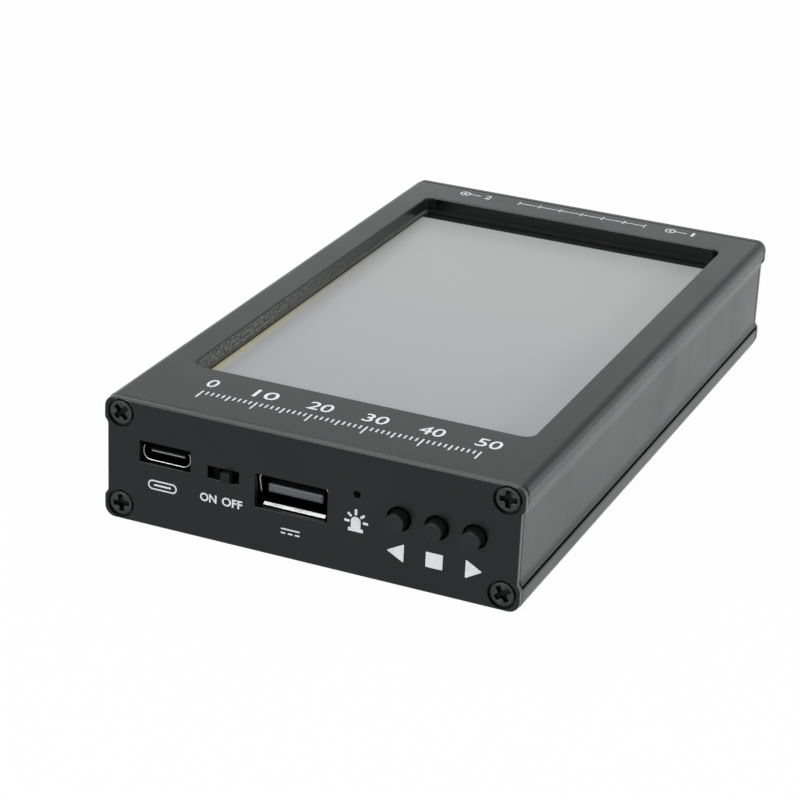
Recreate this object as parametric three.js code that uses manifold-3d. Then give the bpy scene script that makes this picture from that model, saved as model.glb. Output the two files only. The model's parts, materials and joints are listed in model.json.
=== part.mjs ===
// A handheld vector network analyzer: two black extruded aluminium shells between two end panels,
// with a touch display under a window in the lid, an operating panel towards -Y and two coaxial
// jacks in the rear panel. Millimetres, +Z up, origin at the middle of the base.

import * as THREE from 'three';
import { mergeVertices } from 'three/addons/utils/BufferGeometryUtils.js';
import Module from 'manifold-3d';

const wasm = await Module();
wasm.setup();

// Housing: the window in the lid and what stands around it set the width and the length
const windowWidth = 62.2;
const windowLength = 101.6;
const windowRadius = 2;
const frontRim = 18.6;
const rearRim = 9.8;
const housingHeight = 22;
const lidThickness = 2.4;
const floorThickness = 1.8;
const sideWall = 1.5;
const panelThickness = 1.5;

// Corner beads, which run along the long edges, stand proud of the side walls and hold the screws
const beadRadius = 2.65;
const beadProud = 0.6;
const beadHeight = 4.4;
const lidBeadHeight = 3.4;
const beadSlope = 1.4;
const beadBlend = 2;
const panelStep = 0.35;
const panelStepRadius = 0.3;

// Where the two shells meet: the lid's skirt hangs outside the floor's bosses
const seamHeight = 3.65;
const seamGap = 0.3;
const skirtThickness = 1;
const bossWall = 0.8;
const bossRound = 0.6;

// Board rails inside the lid
const railDepth = 1.2;
const railHeight = 1.1;
const railPlay = 0.2;

// Countersunk panel screws
const screwInset = 3.05;
const upperScrewDrop = 2.6;
const lowerScrewRise = 2.8;
const screwCore = 1.9;
const boreClearance = 0.2;
const screwLength = 8;
const screwTip = 0.5;
const screwHead = 4.2;
const screwSink = 0.15;
const countersinkMargin = 0.35;
const panelHoleClearance = 0.4;
const crossSpan = 2.6;
const crossWidth = 0.7;
const crossDepth = 1;

// General clearances
const fitGap = 0.3;
const windowMargin = 0.1;
const edgeGap = 0.6;
const overrun = 1;
const weldDistance = 1e-4;

// Display stack, hung from the lid
const gasketHeight = 0.9;
const touchThickness = 1.1;
const glassThickness = 1.3;
const backlightThickness = 1.6;
const displaySideLap = 1.1;
const displaySideGap = 0.4;
const displayOverlap = 1.7;
const displayRadius = 0.8;
const glassInset = 0.7;

// Main board and what stands on it
const boardThickness = 1.6;
const boardFrontGap = 2.7;
const foamThickness = 1.25;
const shieldWall = 0.3;
const shieldRound = 1;
const receiverShieldWidth = 26;
const receiverShieldLength = 33;
const receiverShieldSetback = 8.5;
const receiverShieldGap = 5;
const synthesizerShieldWidth = 38;
const synthesizerShieldLength = 24;
const shieldSpacing = 10;
const foamMargin = 1.5;
const processorSize = 10;
const processorHeight = 1.2;
const processorSpacing = 4;

// Display flex and its socket
const flexThickness = 0.25;
const displaySocketWidth = 5;
const displaySocketMargin = 0.8;
const displaySocketHeight = 1.6;
const displaySocketInset = 5.2;

// Battery, with its tape, socket and leads
const batterySideGap = 3.6;
const batteryLength = 76;
const batteryHeadroom = 1.15;
const batteryRadius = 2.5;
const batterySetback = 18;
const tapeThickness = 0.3;
const tapeMargin = 6;
const batterySocketWidth = 8;
const batterySocketDepth = 5;
const batterySocketHeight = 4;
const batterySocketSetback = 2.5;
const leadDiameter = 1.3;
const leadSpacing = 2;
const leadDrop = 1;

// Places of the operating panel's features from its middle, as shares of its half width
const panelPlaceShares = {
  charge: -0.69547,
  switch: -0.40667,
  host: -0.07733,
  light: 0.23413,
  button: 0.608,
};

// The port board's underside below the lid's top. The sockets and switches hang from it.
const portBoardDrop = 7.07;

// Charging socket, a type C receptacle
const chargeWidth = 8.94;
const chargeTall = 3.26;
const chargeRound = 1.45;
const chargeDepth = 7.3;
const chargeRecess = 0.7;
const chargeWall = 0.3;
const chargeTongueWidth = 6.7;
const chargeTongueThickness = 0.7;
const chargeTongueRecess = 0.5;
const chargeCutMargin = 0.3;

// Host socket, a type A receptacle
const hostHang = 3.87;
const hostWidth = 12.7;
const hostTall = 5.6;
const hostRound = 0.4;
const hostDepth = 13.3;
const hostRecess = 0.8;
const hostWall = 0.3;
const hostTongueWidth = 10;
const hostTongueThickness = 1.6;
const hostTongueRise = 0.2;
const hostTongueRecess = 0.9;
const hostCutMargin = 0.2;
const hostLegLength = 8;
const hostLegWidth = 0.8;

// Slide switch
const switchHang = 2.55;
const switchBodyWidth = 7.6;
const switchBodyDepth = 3.8;
const switchBodyRise = 2;
const switchSlotEnd = 1.4;
const switchSlotMargin = 0.225;
const switchTravel = 1.5;
const switchPlay = 0.25;
const switchFace = 0.5;
const knobWidth = 1.5;
const knobTall = 1.8;
const knobProud = 1.1;
const carriageWidth = 3.2;
const carriageTall = 2.6;
const carriageThickness = 1.2;

// Push buttons with their switches
const buttonHang = 3.08;
const buttonPitch = 6.55;
const buttonDiameter = 3.3;
const buttonHoleMargin = 0.45;
const buttonProud = 2.1;
const buttonTravel = 0.4;
const buttonRound = 0.3;
const buttonPlay = 0.2;
const buttonFlangeLip = 0.4;
const buttonFlangeThickness = 0.7;
const buttonFace = 0.5;
const buttonSwitchGap = 0.55;
const buttonSwitchDepth = 3.5;
const buttonSwitchDrop = 3;
const panelClearance = 0.4;

// Status light
const ledTall = 1.02;
const ledHole = 1.3;
const ledWidth = 1.6;
const ledDepth = 0.9;

// Port board, its standoffs and screws, and the flex to the main board
const standoffDiameter = 4;
const standoffInset = 4.2;
const standoffSetback = 3.9;
const boardScrewCore = 1.7;
const standoffBoreClearance = 0.3;
const boardHoleClearance = 0.6;
const boardScrewHead = 3.8;
const boardScrewHeadHeight = 1.3;
const boardScrewSlot = 0.6;
const boardScrewReach = 4;
const linkWidth = 11;
const linkOffset = 5.7;
const linkSolder = 2.5;
const linkSocketDepth = 3;
const linkSocketHeight = 1.4;
const linkReach = 2.95;

// Coaxial jacks
const jackSpacing = 44;
const jackFlange = 6.4;
const jackFlangeThickness = 1.6;
const jackBarrel = 6.2;
const jackProud = 9.5;
const jackChamfer = 0.4;
const jackMouthStep = 0.2;
const jackMouthDepth = 1.9;
const jackMouthChamfer = 0.2;
const jackBore = 4.2;
const jackLegLength = 4;
const jackLegWidth = 1.1;
const jackLegTall = 1.1;
const jackHoleClearance = 0.4;
const insulatorPlay = 0.1;
const contactDiameter = 1.27;
const contactSocket = 0.94;
const contactSocketDepth = 3;
const contactTail = 0.6;
const contactTailGap = 0.05;
const contactTailLength = 4;
const washerRim = 0.7;
const washerThickness = 0.5;
const nutWall = 0.7;
const nutThickness = 2;

// How finely round shapes are faceted, and how much of an edge one rounded corner may take
const smallRadius = 1;
const roundSteps = 6;
const smallRoundSteps = 3;
const cornerRoomShare = 0.75;
const boreSides = 12;
const screwSides = 16;
const buttonSides = 20;
const jackSides = 24;
const pinSides = 10;
const leadSides = 8;
const leadSteps = 8;
const flexSteps = 14;

// Places that follow from the sizes above
const windowX = windowWidth / 2;
const boreDiameter = screwCore + boreClearance;
const bossReach = boreDiameter / 2 + bossWall;
const displayX = windowX + displaySideLap;
const bossX = displayX + displaySideGap;
const screwX = bossX + bossReach;
const sideX = screwX + screwInset;
const housingLength = frontRim + windowLength + rearRim;
const wallX = sideX - beadProud;
const innerX = wallX - sideWall;
const frontY = -housingLength / 2;
const rearY = housingLength / 2;
const frontInnerY = frontY + panelThickness;
const rearInnerY = rearY - panelThickness;
const windowFrontY = frontY + frontRim;
const windowRearY = rearY - rearRim;

const upperScrewZ = housingHeight - upperScrewDrop;
const ceilingZ = housingHeight - lidThickness;
const lidBottomZ = seamHeight + seamGap;
const skirtX = wallX - skirtThickness;
const lowerBossTopZ = lowerScrewRise + bossReach;
const skirtTopZ = lowerBossTopZ + edgeGap;

const touchTopZ = ceilingZ - gasketHeight;
const touchBottomZ = touchTopZ - touchThickness;
const glassBottomZ = touchBottomZ - glassThickness;
const displayBottomZ = glassBottomZ - backlightThickness;
const displayFrontY = windowFrontY - displayOverlap;
const displayRearY = windowRearY + displayOverlap;
const glassX = displayX - glassInset;

const jackZ = housingHeight / 2;
const boardTopZ = jackZ - contactTail / 2 - contactTailGap;
const boardBottomZ = boardTopZ - boardThickness;
const boardX = innerX - fitGap;
const boardFrontY = frontInnerY + hostDepth + boardFrontGap - hostRecess;
const boardRearY = rearInnerY - jackFlangeThickness;
const railX = innerX - railDepth;
const shieldTopZ = displayBottomZ - foamThickness;

const chargeX = panelPlaceShares.charge * sideX;
const switchX = panelPlaceShares.switch * sideX;
const hostX = panelPlaceShares.host * sideX;
const ledX = panelPlaceShares.light * sideX;
const buttonX = panelPlaceShares.button * sideX;
const portBoardBottomZ = housingHeight - portBoardDrop;
const chargeHeight = portBoardBottomZ - chargeTall / 2;
const hostHeight = portBoardBottomZ - hostHang;
const switchHeight = portBoardBottomZ - switchHang;
const buttonHeight = portBoardBottomZ - buttonHang;
const ledHeight = portBoardBottomZ - ledTall / 2;
const portBoardTopZ = portBoardBottomZ + boardThickness;
const portBoardFrontY = frontInnerY + edgeGap;
const portBoardRearY = displayFrontY - panelStep - edgeGap;
const partsFrontY = frontInnerY + panelClearance;
const buttonHole = buttonDiameter + 2 * buttonHoleMargin;
const jackHole = jackBarrel + jackHoleClearance;
const receiverFrontY = boardRearY - receiverShieldSetback - receiverShieldLength;

// Finishes
const anodised = metal(0x3a3f3f, 0.55);
const blackScrew = metal(0x34383a, 0.42);
const nickel = metal(0xc9c8c2, 0.25);
const gold = metal(0xc9a24b, 0.3);
const brass = metal(0xb59a55, 0.4);
const tinned = metal(0xb4b8ba, 0.35);
const blackPlastic = plain(0x17191a, 0.6);
const greyPlastic = plain(0x77757c, 0.5);
const fluoropolymer = plain(0xe8e6e0, 0.5);
const foam = plain(0x1c1c1c, 0.95);
const displayFilm = plain(0xa9adac, 0.35);
const displayGlass = plain(0x2b2f33, 0.15);
const solderMask = plain(0x16301f, 0.45);
const polyimide = plain(0xa2651f, 0.4);
const chipBlack = plain(0x1a1a1b, 0.7);
const cellWrap = plain(0x8d9093, 0.4);
const whiteTape = plain(0xd7d4cb, 0.8);
const lightLens = plain(0xe6e2d4, 0.3);
const redLead = plain(0x9d1f1c, 0.5);
const blackLead = plain(0x141414, 0.5);

function metal(color, roughness) {
  return new THREE.MeshStandardMaterial({ color, roughness, metalness: 1 });
}

function plain(color, roughness) {
  return new THREE.MeshStandardMaterial({ color, roughness, metalness: 0 });
}

// Outlines

// The points of a closed outline. Each corner is [x, y, radius], and is sharp with no radius.
function rounded(corners) {
  const points = [];
  corners.forEach(([x, y, radius = 0], index) => {
    const corner = new THREE.Vector2(x, y);
    if (radius === 0) {
      points.push(corner);
      return;
    }
    const [backX, backY] = corners.at(index - 1);
    const [aheadX, aheadY] = corners[(index + 1) % corners.length];
    const back = new THREE.Vector2(backX, backY).sub(corner);
    const ahead = new THREE.Vector2(aheadX, aheadY).sub(corner);
    const room = Math.min(back.length(), ahead.length()) * cornerRoomShare;
    back.normalize();
    ahead.normalize();
    const halfAngle = Math.acos(back.dot(ahead)) / 2;
    const reach = Math.min(radius / Math.tan(halfAngle), room);
    const toCentre = back.clone().add(ahead).setLength(reach / Math.cos(halfAngle));
    const centre = corner.clone().add(toCentre);
    const start = corner.clone().addScaledVector(back, reach);
    const turn = (2 * halfAngle - Math.PI) * Math.sign(back.cross(ahead));
    const steps = radius < smallRadius ? smallRoundSteps : roundSteps;
    for (let step = 0; step <= steps; step += 1) {
      points.push(start.clone().rotateAround(centre, (turn * step) / steps));
    }
  });
  return points;
}

// A half outline, from the top of the middle line to its foot, with its mirror image
function mirrored(corners) {
  const other = corners.map(([x, y, radius]) => [-x, y, radius]).reverse();
  return [...corners, ...other];
}

function rectangle(lowX, lowY, highX, highY, radius = 0) {
  return rounded([
    [lowX, lowY, radius],
    [highX, lowY, radius],
    [highX, highY, radius],
    [lowX, highY, radius],
  ]);
}

function centred(x, y, width, height, radius = 0) {
  return rectangle(x - width / 2, y - height / 2, x + width / 2, y + height / 2, radius);
}

// A regular polygon that stands for a circle, or with few sides for a nut
function ring(x, y, radius, sides) {
  const points = [];
  for (let side = 0; side < sides; side += 1) {
    const angle = (2 * Math.PI * side) / sides;
    points.push(new THREE.Vector2(x + radius * Math.cos(angle), y + radius * Math.sin(angle)));
  }
  return points;
}

// A strip of even thickness along a smooth line through the given points
function strip(route, thickness) {
  const line = new THREE.SplineCurve(route.map(([x, y]) => new THREE.Vector2(x, y)));
  const left = [];
  const right = [];
  for (let step = 0; step <= flexSteps; step += 1) {
    const at = line.getPointAt(step / flexSteps);
    const along = line.getTangentAt(step / flexSteps);
    const across = new THREE.Vector2(-along.y, along.x).multiplyScalar(thickness / 2);
    left.unshift(at.clone().add(across));
    right.push(at.clone().sub(across));
  }
  return [...right, ...left];
}

// Solids

// An outline drawn out along an axis from low to high. Along x it holds (y, z), else (x, z) or (x, y).
function prism(axis, outline, low, high, holes = []) {
  const shape = new THREE.Shape(outline);
  shape.holes = holes.map((hole) => new THREE.Path(hole));
  const geometry = new THREE.ExtrudeGeometry(shape, { depth: 1, bevelEnabled: false });
  const [start, end] = axis === 'y' ? [-high, -low] : [low, high];
  const position = geometry.getAttribute('position');
  for (let index = 0; index < position.count; index += 1) {
    position.setZ(index, position.getZ(index) > 0 ? end : start);
  }
  if (axis === 'y') geometry.rotateX(Math.PI / 2);
  if (axis === 'x') geometry.applyMatrix4(new THREE.Matrix4().makeBasis(yAxis, zAxis, xAxis));
  return geometry;
}

// A turned piece about the Y axis, from its profile of [radius, y] in order of rising y outside
function turned(profile, sides) {
  return new THREE.LatheGeometry(
    profile.map(([radius, y]) => new THREE.Vector2(radius, y)),
    sides,
  );
}

function solid(geometry) {
  const bare = geometry.clone();
  bare.deleteAttribute('normal');
  bare.deleteAttribute('uv');
  const merged = mergeVertices(bare, weldDistance);
  return new wasm.Manifold(
    new wasm.Mesh({
      numProp: 3,
      vertProperties: merged.getAttribute('position').array,
      triVerts: new Uint32Array(merged.index.array),
    }),
  );
}

function surface(manifold) {
  const mesh = manifold.getMesh();
  const indexed = new THREE.BufferGeometry();
  indexed.setAttribute('position', new THREE.BufferAttribute(mesh.vertProperties, mesh.numProp));
  indexed.setIndex(new THREE.BufferAttribute(mesh.triVerts, 1));
  const geometry = indexed.toNonIndexed();
  geometry.computeVertexNormals();
  return geometry;
}

function joined(pieces) {
  return surface(pieces.map(solid).reduce((whole, piece) => whole.add(piece)));
}

function carved(piece, cutters) {
  return surface(cutters.map(solid).reduce((left, cutter) => left.subtract(cutter), solid(piece)));
}

const xAxis = new THREE.Vector3(1, 0, 0);
const yAxis = new THREE.Vector3(0, 1, 0);
const zAxis = new THREE.Vector3(0, 0, 1);
const bothSides = { left: -1, right: 1 };

const analyzer = new THREE.Group();

function add(name, geometry, material, parent = analyzer) {
  const mesh = new THREE.Mesh(geometry, material);
  mesh.name = name;
  parent.add(mesh);
  return mesh;
}

// Housing

// Lid: roof, beads, side walls with board rails, and a skirt down to the seam
function lid() {
  const railBottom = boardBottomZ - railHeight;
  const upperRail = boardTopZ + railPlay;
  const section = rounded(
    mirrored([
      [sideX, housingHeight, beadRadius],
      [sideX, housingHeight - lidBeadHeight, beadBlend],
      [wallX, housingHeight - lidBeadHeight - beadSlope, beadBlend],
      [wallX, lidBottomZ],
      [skirtX, lidBottomZ],
      [skirtX, skirtTopZ],
      [innerX, skirtTopZ],
      [innerX, railBottom],
      [railX, railBottom],
      [railX, boardBottomZ],
      [innerX, boardBottomZ],
      [innerX, upperRail],
      [railX, upperRail],
      [railX, upperRail + railHeight],
      [innerX, upperRail + railHeight],
      [innerX, upperScrewZ - bossReach],
      [bossX, upperScrewZ - bossReach, bossRound],
      [bossX, ceilingZ],
    ]),
  );
  const bores = Object.values(bothSides).map((side) =>
    ring(side * screwX, upperScrewZ, boreDiameter / 2, boreSides),
  );
  const opening = rectangle(-windowX, windowFrontY, windowX, windowRearY, windowRadius);
  return carved(prism('y', section, frontInnerY, rearInnerY, bores), [
    prism('z', opening, ceilingZ - overrun, housingHeight + overrun),
  ]);
}

// Floor: the base plate with its beads, and a boss inside each skirt
function floor() {
  const section = rounded(
    mirrored([
      [bossX, floorThickness],
      [bossX, lowerBossTopZ, bossRound],
      [skirtX - fitGap, lowerBossTopZ, bossRound],
      [skirtX - fitGap, seamHeight],
      [sideX, seamHeight, seamGap],
      [sideX, 0, beadRadius],
    ]),
  );
  const bores = Object.values(bothSides).map((side) =>
    ring(side * screwX, lowerScrewRise, boreDiameter / 2, boreSides),
  );
  return prism('y', section, frontInnerY, rearInnerY, bores);
}

function panel(outerY, innerY, holes) {
  const section = rounded(
    mirrored([
      [sideX, housingHeight, beadRadius],
      [sideX, housingHeight - beadHeight, panelStepRadius],
      [wallX, housingHeight - beadHeight - panelStep, panelStepRadius],
      [wallX, beadHeight + panelStep, panelStepRadius],
      [sideX, beadHeight, panelStepRadius],
      [sideX, 0, beadRadius],
    ]),
  );
  const plate = prism('y', section, Math.min(outerY, innerY), Math.max(outerY, innerY), holes);
  const seats = screwPlaces().map(({ x, z }) =>
    countersinkCutter()
      .rotateZ(outerY > innerY ? Math.PI : 0)
      .translate(x, outerY, z),
  );
  return carved(plate, seats);
}

// The hole for one panel screw, from the panel's face at y = 0 inwards
function countersinkCutter() {
  const sinkRadius = screwHead / 2 + countersinkMargin;
  const holeRadius = (boreDiameter + panelHoleClearance) / 2;
  return turned(
    [
      [0, -overrun],
      [sinkRadius + overrun, -overrun],
      [holeRadius, sinkRadius - holeRadius],
      [holeRadius, panelThickness + overrun],
      [0, panelThickness + overrun],
    ],
    screwSides,
  );
}

function screwPlaces() {
  const heights = { lower: lowerScrewRise, upper: upperScrewZ };
  return Object.entries(heights).flatMap(([level, z]) =>
    Object.entries(bothSides).map(([side, sign]) => ({ name: `${level}_${side}`, x: sign * screwX, z })),
  );
}

// A countersunk screw with a cross recess, head at y = 0 and tip towards +y
function panelScrew() {
  const headRadius = screwHead / 2;
  const coreRadius = screwCore / 2;
  const shank = turned(
    [
      [0, 0],
      [headRadius, 0],
      [coreRadius, headRadius - coreRadius],
      [coreRadius, screwLength - screwTip],
      [coreRadius - screwTip, screwLength],
      [0, screwLength],
    ],
    screwSides,
  );
  const arms = [
    [crossSpan, crossWidth],
    [crossWidth, crossSpan],
  ].map(([width, height]) => prism('y', centred(0, 0, width, height), -overrun, crossDepth));
  return carved(shank, arms);
}

function addHousing() {
  add('top_shell', lid(), anodised);
  add('bottom_shell', floor(), anodised);
  add('front_panel', panel(frontY, frontInnerY, frontOpenings()), anodised);
  add('rear_panel', panel(rearY, rearInnerY, jackOpenings()), anodised);
  const screw = panelScrew();
  screwPlaces().forEach(({ name, x, z }) => {
    add(`front_screw_${name}`, screw, blackScrew).position.set(x, frontY + screwSink, z);
    const rear = add(`rear_screw_${name}`, screw, blackScrew);
    rear.position.set(x, rearY - screwSink, z);
    rear.rotation.z = Math.PI;
  });
}

function frontOpenings() {
  const chargeCut = 2 * chargeCutMargin;
  const hostCut = 2 * hostCutMargin;
  return [
    centred(chargeX, chargeHeight, chargeWidth + chargeCut, chargeTall + chargeCut),
    centred(
      switchX,
      switchHeight,
      knobWidth + switchTravel + 2 * switchSlotEnd,
      knobTall + 2 * switchSlotMargin,
    ),
    centred(hostX, hostHeight, hostWidth + hostCut, hostTall + hostCut),
    ring(ledX, ledHeight, ledHole / 2, boreSides),
    ...buttonPlaces().map(({ x }) => ring(x, buttonHeight, buttonHole / 2, buttonSides)),
  ];
}

function jackOpenings() {
  return Object.values(bothSides).map((side) =>
    ring((side * jackSpacing) / 2, jackZ, jackHole / 2, jackSides),
  );
}

// Display, from the gasket under the lid down to the foam that holds it up

function addDisplay() {
  const outline = rectangle(-displayX, displayFrontY, displayX, displayRearY, displayRadius);
  const sight = rectangle(
    -windowX - windowMargin,
    windowFrontY - windowMargin,
    windowX + windowMargin,
    windowRearY + windowMargin,
    windowRadius + windowMargin,
  );
  const glass = rectangle(-glassX, displayFrontY + glassInset, glassX, displayRearY - glassInset);
  add('window_gasket', prism('z', outline, touchTopZ, ceilingZ, [sight]), foam);
  add('touch_panel', prism('z', outline, touchBottomZ, touchTopZ), displayFilm);
  add('display_glass', prism('z', glass, glassBottomZ, touchBottomZ), displayGlass);
  add('display_backlight', prism('z', outline, displayBottomZ, glassBottomZ), tinned);
  addDisplayFlex();
}

// The flex leaves the glass at the side, folds under the backlight and ends in a socket
function addDisplayFlex() {
  const middleY = receiverFrontY - shieldSpacing / 2;
  const socketX = displayX - displaySocketInset;
  const socketZ = boardTopZ + displaySocketHeight / 2;
  const startZ = touchBottomZ - flexThickness - fitGap;
  const foldX = displayX + displaySideGap + fitGap;
  const underZ = displayBottomZ - edgeGap;
  const route = [
    [glassX + fitGap, startZ],
    [displayX, startZ],
    [foldX, (startZ + displayBottomZ) / 2],
    [displayX, underZ],
    [displayX - displaySocketInset / 2, (underZ + socketZ) / 2],
    [socketX + edgeGap, socketZ],
    [socketX + fitGap, socketZ],
  ];
  const socketLength = shieldSpacing - 2 * displaySocketMargin;
  const halfFlex = socketLength / 2 - edgeGap;
  const flex = prism('y', strip(route, flexThickness), middleY - halfFlex, middleY + halfFlex);
  const socket = centred(
    socketX - displaySocketWidth / 2,
    middleY,
    displaySocketWidth,
    socketLength,
  );
  add('display_flex', flex, polyimide);
  add('display_socket', prism('z', socket, boardTopZ, boardTopZ + displaySocketHeight), blackPlastic);
}

// Main board with its shields, processor and battery socket

function addMainBoard() {
  const outline = rectangle(-boardX, boardFrontY, boardX, boardRearY);
  add('main_board', prism('z', outline, boardBottomZ, boardTopZ), solderMask);
  const receiverY = receiverFrontY + receiverShieldLength / 2;
  const receiverShieldSpacing = receiverShieldWidth + receiverShieldGap;
  Object.entries(bothSides).forEach(([name, side]) => {
    const x = (side * receiverShieldSpacing) / 2;
    const can = shieldCan(x, receiverY, receiverShieldWidth, receiverShieldLength);
    add(`receiver_shield_${name}`, can, tinned);
  });
  const synthesizerY = receiverFrontY - shieldSpacing - synthesizerShieldLength / 2;
  const can = shieldCan(0, synthesizerY, synthesizerShieldWidth, synthesizerShieldLength);
  add('synthesizer_shield', can, tinned);
  const foamX = (receiverShieldSpacing + receiverShieldWidth) / 2 - foamMargin;
  const pad = rectangle(
    -foamX,
    receiverFrontY + foamMargin,
    foamX,
    receiverY + receiverShieldLength / 2 - foamMargin,
  );
  add('display_foam', prism('z', pad, shieldTopZ, displayBottomZ), foam);
  const processorY = synthesizerY - (synthesizerShieldLength + processorSize) / 2 - processorSpacing;
  const chip = centred(0, processorY, processorSize, processorSize);
  add('processor', prism('z', chip, boardTopZ, boardTopZ + processorHeight), chipBlack);
}

// A shield can, open towards the board
function shieldCan(x, y, width, length) {
  const outer = centred(x, y, width, length, shieldRound);
  const inner = centred(x, y, width - 2 * shieldWall, length - 2 * shieldWall, shieldRound);
  return carved(prism('z', outer, boardTopZ, shieldTopZ), [
    prism('z', inner, boardTopZ - overrun, shieldTopZ - shieldWall),
  ]);
}

// Battery on its tape, with two leads to a socket under the main board

function addBattery() {
  const frontEnd = boardFrontY + batterySetback;
  const rearEnd = frontEnd + batteryLength;
  const halfWidth = bossX - batterySideGap;
  const cellBottom = floorThickness + tapeThickness;
  const cellTop = boardBottomZ - batteryHeadroom;
  const cell = rectangle(-halfWidth, frontEnd, halfWidth, rearEnd, batteryRadius);
  const tape = rectangle(
    -halfWidth + tapeMargin,
    frontEnd + tapeMargin,
    halfWidth - tapeMargin,
    rearEnd - tapeMargin,
  );
  add('battery', prism('z', cell, cellBottom, cellTop), cellWrap);
  add('battery_tape', prism('z', tape, floorThickness, cellBottom), whiteTape);
  const socketFront = boardFrontY + batterySocketSetback;
  const socketRear = socketFront + batterySocketDepth;
  const socketX = -halfWidth / 2;
  const half = batterySocketWidth / 2;
  const socket = rectangle(socketX - half, socketFront, socketX + half, socketRear);
  const socketBottom = boardBottomZ - batterySocketHeight;
  add('battery_socket', prism('z', socket, socketBottom, boardBottomZ), whiteTape);
  const socketMiddle = (socketBottom + boardBottomZ) / 2;
  const cellMiddle = (cellBottom + cellTop) / 2;
  const leads = { negative: -1, positive: 1 };
  Object.entries(leads).forEach(([name, side]) => {
    const x = socketX + (side * leadSpacing) / 2;
    const route = [
      new THREE.Vector3(x, socketRear + fitGap, socketMiddle),
      new THREE.Vector3(x, socketRear + fitGap + leadDiameter, socketMiddle),
      new THREE.Vector3(x, (socketRear + frontEnd) / 2, cellMiddle - leadDrop),
      new THREE.Vector3(x, frontEnd - fitGap - leadDiameter, cellMiddle),
      new THREE.Vector3(x, frontEnd - fitGap, cellMiddle),
    ];
    const lead = new THREE.ExtrudeGeometry(new THREE.Shape(ring(0, 0, leadDiameter / 2, leadSides)), {
      steps: leadSteps,
      extrudePath: new THREE.CatmullRomCurve3(route),
    });
    add(`battery_lead_${name}`, lead, name === 'positive' ? redLead : blackLead);
  });
}

// Port board: the sockets, the switches and the light hang under it, behind the front panel

function addPortBoard() {
  const standoffX = displayX - standoffInset;
  const standoffY = portBoardRearY - standoffSetback;
  const outline = rectangle(-displayX, portBoardFrontY, displayX, portBoardRearY);
  const holes = Object.values(bothSides).map((side) =>
    ring(side * standoffX, standoffY, (boardScrewCore + boardHoleClearance) / 2, boreSides),
  );
  add('port_board', prism('z', outline, portBoardBottomZ, portBoardTopZ, holes), solderMask);
  Object.entries(bothSides).forEach(([name, side]) => {
    const x = side * standoffX;
    const outer = ring(x, standoffY, standoffDiameter / 2, boreSides);
    const bore = ring(x, standoffY, (boardScrewCore + standoffBoreClearance) / 2, boreSides);
    const post = prism('z', outer, portBoardTopZ, ceilingZ, [bore]);
    add(`port_board_standoff_${name}`, post, brass);
    const screw = add(`port_board_screw_${name}`, boardScrew(), tinned);
    screw.position.set(x, standoffY, portBoardBottomZ);
  });
  addPortBoardLink();
}

// A slotted screw with its head under z = 0 and its shank above
function boardScrew() {
  const headRadius = boardScrewHead / 2;
  const coreRadius = boardScrewCore / 2;
  const shape = turned(
    [
      [0, -boardScrewHeadHeight],
      [headRadius, -boardScrewHeadHeight],
      [headRadius, 0],
      [coreRadius, 0],
      [coreRadius, boardScrewReach],
      [0, boardScrewReach],
    ],
    boreSides,
  ).rotateX(Math.PI / 2);
  const slot = centred(0, 0, boardScrewHead + overrun, boardScrewSlot);
  const slotTop = boardScrewSlot - boardScrewHeadHeight;
  return carved(shape, [prism('z', slot, -boardScrewHeadHeight - overrun, slotTop)]);
}

// The flex from under the port board down to a socket on the main board
function addPortBoardLink() {
  const x = ledX + linkOffset;
  const socketFront = portBoardRearY + linkReach;
  const startZ = portBoardBottomZ - edgeGap;
  const endZ = boardTopZ + linkSocketHeight / 2;
  const route = [
    [portBoardRearY - linkSolder, startZ],
    [portBoardRearY, startZ],
    [(portBoardRearY + socketFront) / 2, (startZ + endZ) / 2],
    [socketFront - edgeGap, endZ],
    [socketFront - fitGap, endZ],
  ];
  const halfLink = linkWidth / 2;
  const link = prism('x', strip(route, flexThickness), x - halfLink, x + halfLink);
  const socket = centred(x, socketFront + linkSocketDepth / 2, linkWidth + 2 * edgeGap, linkSocketDepth);
  add('port_board_flex', link, polyimide);
  add('port_board_socket', prism('z', socket, boardTopZ, boardTopZ + linkSocketHeight), blackPlastic);
}

function addCharge() {
  const front = frontY + chargeRecess;
  const rear = front + chargeDepth;
  const outer = centred(chargeX, chargeHeight, chargeWidth, chargeTall, chargeRound);
  const inner = centred(
    chargeX,
    chargeHeight,
    chargeWidth - 2 * chargeWall,
    chargeTall - 2 * chargeWall,
    chargeRound - chargeWall,
  );
  const shell = carved(prism('y', outer, front, rear), [
    prism('y', inner, front - overrun, rear - chargeWall),
  ]);
  const tongue = centred(chargeX, chargeHeight, chargeTongueWidth, chargeTongueThickness);
  add('charge_socket_shell', shell, nickel);
  const blade = prism('y', tongue, front + chargeTongueRecess, rear - chargeWall);
  add('charge_socket_tongue', blade, blackPlastic);
}

function addHost() {
  const front = frontY + hostRecess;
  const rear = front + hostDepth;
  const outer = centred(hostX, hostHeight, hostWidth, hostTall, hostRound);
  const inner = centred(hostX, hostHeight, hostWidth - 2 * hostWall, hostTall - 2 * hostWall);
  const legs = Object.values(bothSides).map((side) => {
    const x = hostX + (side * (hostWidth - hostLegWidth)) / 2;
    const foot = centred(x, rear - hostLegLength / 2, hostLegWidth, hostLegLength);
    return prism('z', foot, hostHeight + hostTall / 2 - hostWall, portBoardBottomZ);
  });
  const shell = carved(joined([prism('y', outer, front, rear), ...legs]), [
    prism('y', inner, front - overrun, rear - hostWall),
  ]);
  const tongue = centred(hostX, hostHeight + hostTongueRise, hostTongueWidth, hostTongueThickness);
  add('host_socket_shell', shell, nickel);
  add('host_socket_tongue', prism('y', tongue, front + hostTongueRecess, rear - hostWall), greyPlastic);
}

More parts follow.
